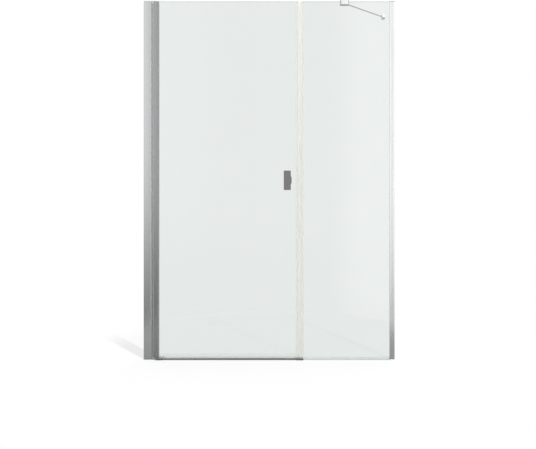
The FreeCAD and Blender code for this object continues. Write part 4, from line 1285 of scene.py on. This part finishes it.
@dataclass
class Threshold:
    """Low strip on the tray under the door, with a sleeve on each end."""

    face: float = 6.0
    slope: float = 6.0
    crown: float = 4.0
    lip: float = 3.0
    turn: float = 1.3
    wall: float = 1.6
    notch_gap: float = 0.4

    def outline(self, node: str) -> list[Corner]:
        """Work out the section of the strip or of a sleeve: face, slope, crown and fall.

        Args:
            node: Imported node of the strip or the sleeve.

        Returns:
            Its corners.
        """
        low, high = span(node)
        lift = high.z - span("threshold_strip")[1].z
        return [
            (low.y, 0.0), (high.y, 0.0), (high.y, self.lip + lift), (self.crown, high.z, self.turn),
            (low.y + self.slope, high.z, self.turn), (low.y, self.face + lift, self.turn),
        ]

    def sleeve(self, node: str) -> Solid:
        """Build a sleeve with the room for the strip's end cut out of it.

        Args:
            node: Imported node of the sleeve.

        Returns:
            The sleeve.
        """
        low, high = span(node)
        inner_low, inner_high = span("threshold_strip")
        room = Solid.prism(Axis.X, self.outline("threshold_strip"), inner_low.x, inner_high.x)
        return Solid.prism(Axis.X, self.outline(node), low.x, high.x).cut(room)

    def build(self) -> None:
        """Build and dress the threshold."""
        low, high = span("threshold_strip")
        hollow = rect(low.y + self.wall, self.wall, self.crown - self.wall, self.face)
        strip = Solid.tube(Axis.X, self.outline("threshold_strip"), hollow, low.x, high.x)
        # Painted light on the level crown and painted shade on the face and slope: two copies of one
        # aluminium
        strip.mark(1, upward)
        strip.piece("threshold_extrusion", Body.FRAME, [THRESHOLD_PAINTED_SHADE, CROWN_PAINTED_LIGHT], "threshold_strip")
        # Painted light on the level tops of the sleeves, over their dark plastic
        finishes = [SLEEVE_DARK, SLEEVE_CROWN_PAINTED_LIGHT]
        hinge_end = self.sleeve("threshold_hinge_cap").soften(SOFT_EDGE).mark(1, upward)
        hinge_end.piece("threshold_hinge_sleeve", Body.FRAME, finishes, "threshold_hinge_cap")
        panel_end = self.sleeve("threshold_panel_cap")
        glass_low, glass_high = span("panel_glass")
        gap = self.notch_gap
        notch = rect(glass_low.x - gap, glass_low.y - gap, glass_high.x, glass_high.y + gap)
        panel_end.cut(Solid.prism(Axis.Z, notch, -OVERRUN, high.z + self.crown)).soften(SOFT_EDGE)
        panel_end.mark(1, upward)
        panel_end.piece("threshold_panel_sleeve", Body.FRAME, finishes, "threshold_panel_cap")


@dataclass
class FixedPanel:
    """Fixed pane with its wall profiles, seals and end caps."""

    wall: float = 2.0
    glass_gap: float = 0.15
    edge: float = 1.0
    screw: PanScrew = PanScrew(length=7.0)
    screw_margin: float = 250.0
    screw_count: int = 4
    carrier_wall: float = 1.2
    carrier_round: float = 0.7
    meeting_gap: float = 1.0
    lip_gap: float = 0.4
    gasket_inset: float = 0.5
    toe: float = 2.0

    def __post_init__(self) -> None:
        """Read the places of the panel's pieces."""
        self.glass_low, self.glass_high = span("panel_glass")
        self.profile_half = span("panel_glazing_profile")[1].y
        self.rear_mouth = span("panel_rear_gasket")[0].x - self.gasket_inset
        self.channel_low, self.channel_high = span("panel_wall_channel")

    def wall_profiles(self) -> None:
        """Build the glazing profile and the wall channel that it slides in."""
        for node, name, rear in (
            ("panel_glazing_profile", "glazing_extrusion", self.rear_mouth),
            ("panel_wall_channel", "wall_extrusion", self.channel_low.x),
        ):
            low, high = span(node)
            inner = high.y - self.wall
            web = high.x - self.wall
            outline = [
                (low.x, low.y, self.edge), (high.x, low.y), (high.x, high.y), (rear, high.y, self.edge),
                (rear, inner), (web, inner), (web, -inner), (low.x, -inner),
            ]
            solid = Solid.prism(Axis.Z, outline, low.z, high.z)
            solid.piece(name, Body.FRAME, [PANEL_SATIN], node)

    def end(self, node: str, name: str) -> None:
        """Build a plastic end of the wall profiles, open around the glass.

        Args:
            node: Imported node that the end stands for.
            name: Name of the piece.
        """
        low, high = span(node)
        step, near = self.channel_low.x, self.profile_half
        edge, half = self.glass_high.x + self.glass_gap, self.glass_high.y + self.glass_gap
        outline = [
            (low.x, -near, self.edge), (step, -near), (step, low.y, self.edge), (high.x, low.y),
            (high.x, high.y), (step, high.y, self.edge), (step, near), (self.rear_mouth, near, self.edge),
            (self.rear_mouth, half), (edge, half), (edge, -half), (low.x, -half),
        ]
        solid = Solid.prism(Axis.Z, outline, low.z, high.z).soften(SOFT_EDGE)
        solid.piece(name, Body.FRAME, [CAP_PALE], node)

    def magnet_clip(self) -> None:
        """Build the clear clip with its magnet chamber and the stop lip behind the door's clip."""
        low, high = span("panel_magnet_carrier")
        half, edge = self.glass_high.y + self.glass_gap, self.glass_low.x - self.glass_gap
        outer, turn = -low.y, self.carrier_round
        left = span("door_magnet_carrier")[1].x + self.meeting_gap
        lip = outer + self.lip_gap
        outline = [
            (left, -outer, turn), (high.x, -outer, turn), (high.x, -half), (edge, -half), (edge, half),
            (high.x, half), (high.x, outer, turn), (edge, outer), (edge, high.y, turn),
            (low.x, high.y), (low.x, lip), (left, lip),
        ]
        inner, end = left + self.carrier_wall, edge - self.carrier_wall
        chamber = rect(inner, self.glass_low.y, end, self.glass_high.y)
        solid = Solid.tube(Axis.Z, outline, chamber, low.z, high.z)
        solid.piece("panel_magnet_clip", Body.FRAME, [SEAL_UPRIGHT], "panel_magnet_carrier")
        dress(MAGNET_PALE, "panel_magnet_strip")

    def standing_seal(self) -> None:
        """Build the clear strip that the pane stands in, with its toe in front."""
        low, high = span("panel_bottom_seal")
        inner, seat = self.glass_high.y + self.glass_gap, self.glass_low.z - self.glass_gap
        turn = self.carrier_round
        outline = [
            (low.y, 0.0), (high.y, 0.0), (high.y, high.z, turn), (inner, high.z), (inner, seat),
            (-inner, seat), (-inner, high.z), (-high.y, high.z, turn), (-high.y, self.toe),
            (low.y, self.toe, turn),
        ]
        solid = Solid.prism(Axis.X, outline, low.x, high.x)
        # Painted shade: the toe in front of the strip gets the dark copy of the seal
        solid.mark(1, lambda face: face.calc_center_median().y < -high.y - NEAR)
        solid.piece("panel_foot_seal", Body.FRAME, [SEAL_LEVEL, SEAL_TOE_PAINTED_SHADE], "panel_bottom_seal")

    def build(self) -> None:
        """Build and dress the fixed panel."""
        self.wall_profiles()
        self.end("panel_profile_cap", "panel_crown_cap")
        self.end("panel_profile_foot", "panel_foot_cap")
        Pane("panel_glass", "fixed_pane", Body.FRAME).build()
        self.magnet_clip()
        self.standing_seal()
        column = heights(self.screw_margin, self.screw_count, self.glass_high.z)
        x, seat = middle("panel_lock_screws").x, self.channel_high.y
        screws = Solid.gather(self.screw.solid((x, height), seat) for height in column)
        screws.piece("panel_screws", Body.FRAME, [SCREW_STEEL], "panel_lock_screws")
        dress(GASKET_PALE, "panel_front_gasket", "panel_rear_gasket")


@dataclass
class Stay:
    """Rod from a clamp on the fixed pane to a boss on the wall."""

    angle: float = math.radians(45)
    bevel: float = 4.0
    slot_half: float = 5.0
    slot_rise: float = 1.0
    spigot_radius: float = 7.0
    spigot_root: float = 3.0
    spigot_length: float = 30.0
    bore_radius: float = 4.05
    bore_start: float = 12.0
    bore_depth: float = 40.0
    rod_radius: float = 4.0
    rod_length: float = 385.6
    pad_screw: GrubScrew = GrubScrew(radius=2.5, socket_radius=1.5, socket_depth=3.0)
    pad_screw_half: float = 16.0
    pad_screw_drop: float = 17.0
    lock_screw: GrubScrew = GrubScrew(radius=1.8, socket_radius=0.9, socket_depth=0.9)
    boss_round: float = 2.0
    boss_strips: int = 4
    hole_radius: float = 2.2
    head_radius: float = 3.8
    head_depth: float = 9.0
    hole_half: float = 10.0

    def __post_init__(self) -> None:
        """Read the places of the clamp, the boss and the rod's root."""
        self.low, self.high = span("stay_clamp")
        self.boss_low, self.boss_high = span("stay_wall_boss")
        self.x = middle("stay_clamp_pads").x
        self.right = 2 * self.x - self.low.x
        self.glass_top = span("panel_glass")[1].z
        self.rear = span("stay_clamp_screws")[1].y
        self.root = Vector((self.x, (self.slot_half + self.rear) / 2, middle("stay_wall_boss").z))

    def along(self, radius: float, start: float, end: float) -> Solid:
        """Build a round bar on the rod's line.

        Args:
            radius: Radius of the bar.
            start: Where it starts, from the rod's root in the clamp.
            end: Where it ends.

        Returns:
            The bar.
        """
        centre = (self.root.y, self.root.z)
        solid = Solid.bar(Axis.X, centre, radius, self.root.x + start, self.root.x + end)
        return solid.turn(self.angle, self.root)

    def clamp(self) -> None:
        """Build the clamp: a block over the pane's top edge with a spigot for the rod."""
        low, high = self.low, self.high
        slot_top = self.glass_top + self.slot_rise
        outline = [
            (low.y, low.z), (-self.slot_half, low.z), (-self.slot_half, slot_top),
            (self.slot_half, slot_top), (self.slot_half, low.z), (self.rear, low.z),
            (self.rear, high.z), (low.y, high.z),
        ]
        solid = Solid.prism(Axis.X, outline, low.x, self.right)
        solid.soften(self.bevel, segments=1, where=lambda place: abs(place.y - low.y) < NEAR)
        spigot = self.along(self.spigot_radius, self.spigot_root, self.spigot_length)
        bore = self.along(self.bore_radius, self.bore_start, self.spigot_length + OVERRUN)
        solid.join(spigot).cut(bore).soften(SOFT_EDGE)
        solid.piece("clamp_block", Body.FRAME, [STAY_CHROME], "stay_clamp")
        height = self.glass_top - self.pad_screw_drop
        places = [(self.x + side * self.pad_screw_half, height) for side in (-1, 1)]
        screws = Solid.gather(
            self.pad_screw.solid(Axis.Y, place, self.slot_half, self.rear) for place in places
        )
        screws.piece("clamp_screws", Body.FRAME, [SCREW_STEEL], "stay_clamp_screws")
        dress(GASKET_PALE, "stay_clamp_pads")

    def boss(self) -> None:
        """Build the round wall boss with its screw holes and the rod's bore."""
        low, high = self.boss_low, self.boss_high
        centre = middle("stay_wall_boss").yz
        radius = (high.z - low.z) / 2 - NEAR
        core, start = radius - self.boss_round, low.x + self.boss_round
        turns = [math.pi / 2 * number / self.boss_strips for number in range(self.boss_strips + 1)]
        rounding = [
            (core + self.boss_round * math.sin(turn), start - self.boss_round * math.cos(turn))
            for turn in turns
        ]
        outline = [(0.0, low.x), *rounding, (radius, high.x), (0.0, high.x)]
        tools = [self.along(self.bore_radius, self.rod_length - self.bore_depth, self.rod_length)]
        steps = ((self.hole_radius, high.x + OVERRUN), (self.head_radius, low.x + self.head_depth))
        for side in (-1, 1):
            place = (centre.x, centre.y + side * self.hole_half)
            tools += [Solid.bar(Axis.X, place, hole, low.x - OVERRUN, end) for hole, end in steps]
        solid = Solid.turned(Axis.X, centre, outline).cut(*tools)
        solid.piece("wall_boss", Body.FRAME, [STAY_CHROME], "stay_wall_boss")

    def build(self) -> None:
        """Build and dress the stay."""
        self.clamp()
        self.boss()
        rod = self.along(self.rod_radius, self.bore_start, self.rod_length).soften(SOFT_EDGE)
        rod.piece("round_rod", Body.FRAME, [STAY_CHROME], "stay_rod")
        low, high = span("stay_lock_screws")
        radius = self.lock_screw.radius
        places = [(low.x + radius, low.y + radius), (high.x - radius, high.y - radius)]
        screws = Solid.gather(self.lock_screw.solid(Axis.Z, place, low.z, high.z) for place in places)
        screws.piece("rod_lock_screws", Body.FRAME, [SCREW_STEEL], "stay_lock_screws")


@dataclass(frozen=True)
class SoftPanel:
    """An upright soft light of the studio, by the directions that it is seen in.

    Sides and bottom are parts of a unit direction to the right and up. With a bottom below -1 the
    panel has no lower end.
    """

    left: float
    right: float
    side_fade: float
    bottom: float
    bottom_fade: float
    strength: float

    def wire(self, graph: Graph, axes: bpy.types.NodeOutputs) -> Socket:
        """Wire the light of the panel.

        Args:
            graph: Graph of the world.
            axes: Outputs with the parts of the direction.

        Returns:
            The strength of the light by direction.
        """
        fade = self.side_fade
        left = graph.fade(axes["X"], self.left - fade, self.left + fade)
        right = graph.fade(axes["X"], self.right + fade, self.right - fade)
        low, high = self.bottom - self.bottom_fade, self.bottom + self.bottom_fade
        upper = graph.fade(axes["Z"], low, high, 0.0, self.strength)
        return graph.reckon(Reckoning.PRODUCT, graph.reckon(Reckoning.PRODUCT, left, right), upper)


@dataclass
class Studio:
    """Pale floor, soft light all round and the camera of the photograph."""

    camera_place: Place = (0.0, -3.214, 1.0)
    lens: float = 38.55
    shift: tuple[float, float] = (-0.0022, -0.0825)
    floor_radius: float = 1.2
    floor_sides: int = 96
    floor_fade: float = 0.85
    floor_colour: Colour = (0.29, 0.29, 0.29)
    floor_lift: float = 0.6
    mirrored_lift: float = 0.03
    glass_haze: float = 0.7
    ground_light: float = 0.2
    sky_light: float = 0.53
    horizon: tuple[float, float] = (-0.21, -0.04)
    deep_light: float = 0.3
    depth: tuple[float, float] = (-0.3, -0.42)
    panels: tuple[SoftPanel, ...] = (
        SoftPanel(-0.8, -0.12, side_fade=0.09, bottom=-0.09, bottom_fade=0.11, strength=0.5),
        SoftPanel(-0.03, 0.5, side_fade=0.06, bottom=-2.0, bottom_fade=0.1, strength=0.1),
        SoftPanel(0.13, 0.34, side_fade=0.035, bottom=-0.24, bottom_fade=0.06, strength=1.13),
    )
    backdrop: tuple[float, float] = (0.3, 0.6)
    key_place: Place = (3.6, -5.6, 8.0)
    key_aim: Place = (0.0, 0.0, 1.0)
    key_size: float = 0.3
    key_power: float = 780.0

    def shown(self, graph: Graph, mirrored: Socket | float) -> Socket:
        """Wire where the white of the background shows.

        Args:
            graph: Graph of the floor or the world.
            mirrored: Share of it that shows in metal.

        Returns:
            The share of white: full for the camera and through glass.
        """
        path = graph.node("ShaderNodeLightPath").outputs
        seen = graph.reckon(Reckoning.LARGER, path["Is Camera Ray"], path["Is Transmission Ray"])
        in_metal = graph.reckon(Reckoning.PRODUCT, path["Is Glossy Ray"], mirrored)
        return graph.reckon(Reckoning.LARGER, seen, in_metal)

    def floor(self) -> None:
        """Build the floor: pale, lifted to white where it shows, with the object's shadow on it."""
        shape = bmesh.new()
        bmesh.ops.create_circle(
            shape, cap_ends=True, radius=self.floor_radius, segments=self.floor_sides
        )
        mesh = bpy.data.meshes.new("floor")
        shape.to_mesh(mesh)
        shape.free()
        material = bpy.data.materials.new("floor_pale")
        graph = Graph(material)
        shown = self.shown(graph, self.mirrored_lift)
        lift = graph.reckon(Reckoning.PRODUCT, shown, self.floor_lift)
        glow = graph.node("ShaderNodeEmission", {"Strength": lift})
        lit = graph.node("ShaderNodeBsdfDiffuse", {"Color": (*self.floor_colour, 1.0)})
        both = graph.node("ShaderNodeAddShader", {0: glow.outputs["Emission"], 1: lit.outputs["BSDF"]})
        place = graph.node("ShaderNodeTexCoord").outputs["Object"]
        reach = graph.node("ShaderNodeVectorMath", {0: place}, operation="LENGTH").outputs["Value"]
        edge = graph.fade(reach, self.floor_fade, self.floor_radius)
        through = graph.node("ShaderNodeLightPath").outputs["Is Transmission Ray"]
        haze = graph.reckon(Reckoning.PRODUCT, through, self.glass_haze)
        white = graph.node("ShaderNodeEmission", {"Strength": 1.0}).outputs["Emission"]
        share = graph.reckon(Reckoning.LARGER, graph.reckon(Reckoning.PRODUCT, edge, shown), haze)
        graph.surface(graph.mix(share, both.outputs["Shader"], white))
        mesh.materials.append(material)
        placed("floor", mesh)

    def surroundings(self) -> None:
        """Set a white background and a soft studio light that is brighter to both sides."""
        world = bpy.data.worlds.new("studio")
        bpy.context.scene.world = world
        graph = Graph(world)
        way = graph.node("ShaderNodeTexCoord").outputs["Generated"]
        axes = graph.node("ShaderNodeSeparateXYZ", {"Vector": way}).outputs
        light = graph.fade(axes["Z"], *self.horizon, self.ground_light, self.sky_light)
        light = graph.reckon(Reckoning.SUM, light, graph.fade(axes["Z"], *self.depth, 0.0, self.deep_light))
        for panel in self.panels:
            light = graph.reckon(Reckoning.SUM, light, panel.wire(graph, axes))
        white = self.shown(graph, graph.fade(axes["Y"], *self.backdrop))
        strength = graph.node("ShaderNodeMix", {"Factor": white, "A": light, "B": 1.0})
        colour = (1.0, 1.0, 1.0, 1.0)
        glow = graph.node("ShaderNodeBackground", {"Color": colour, "Strength": strength.outputs["Result"]})
        graph.node("ShaderNodeOutputWorld", {"Surface": glow.outputs["Background"]})

    def key(self) -> None:
        """Hang the square main light at the front right, aimed at the middle of the door."""
        lamp = bpy.data.lights.new("key", "AREA")
        lamp.shape = "SQUARE"
        lamp.size = self.key_size
        lamp.energy = self.key_power
        made = placed("key", lamp)
        made.location = self.key_place
        aim = Vector(self.key_aim) - Vector(self.key_place)
        made.rotation_euler = aim.to_track_quat("-Z", "Y").to_euler()
        made.visible_camera = False
        made.visible_transmission = False
        made.visible_glossy = False

    def camera(self) -> None:
        """Set the camera square to the door, shifted as the photograph is framed."""
        lens = bpy.data.cameras.new("photo_camera")
        lens.lens = self.lens
        lens.sensor_fit = "HORIZONTAL"
        lens.shift_x, lens.shift_y = self.shift
        made = placed("photo_camera", lens)
        made.location = self.camera_place
        made.rotation_euler = (math.pi / 2, 0.0, 0.0)
        bpy.context.scene.camera = made

    def build(self) -> None:
        """Set the stage, the light and the camera."""
        bpy.context.scene.view_settings.view_transform = "Standard"
        self.floor()
        self.surroundings()
        self.key()
        self.camera()


def main() -> None:
    """Build every assembly in order and set the studio."""
    logging.basicConfig(level=logging.INFO, format="%(name)s: %(message)s")
    for assembly in (HingeSide(), Threshold(), FixedPanel(), Stay(), DoorLeaf(), Handle()):
        assembly.build()
        LOG.info("%s done", type(assembly).__name__)
    Studio().build()


if __name__ == "__main__":
    main()
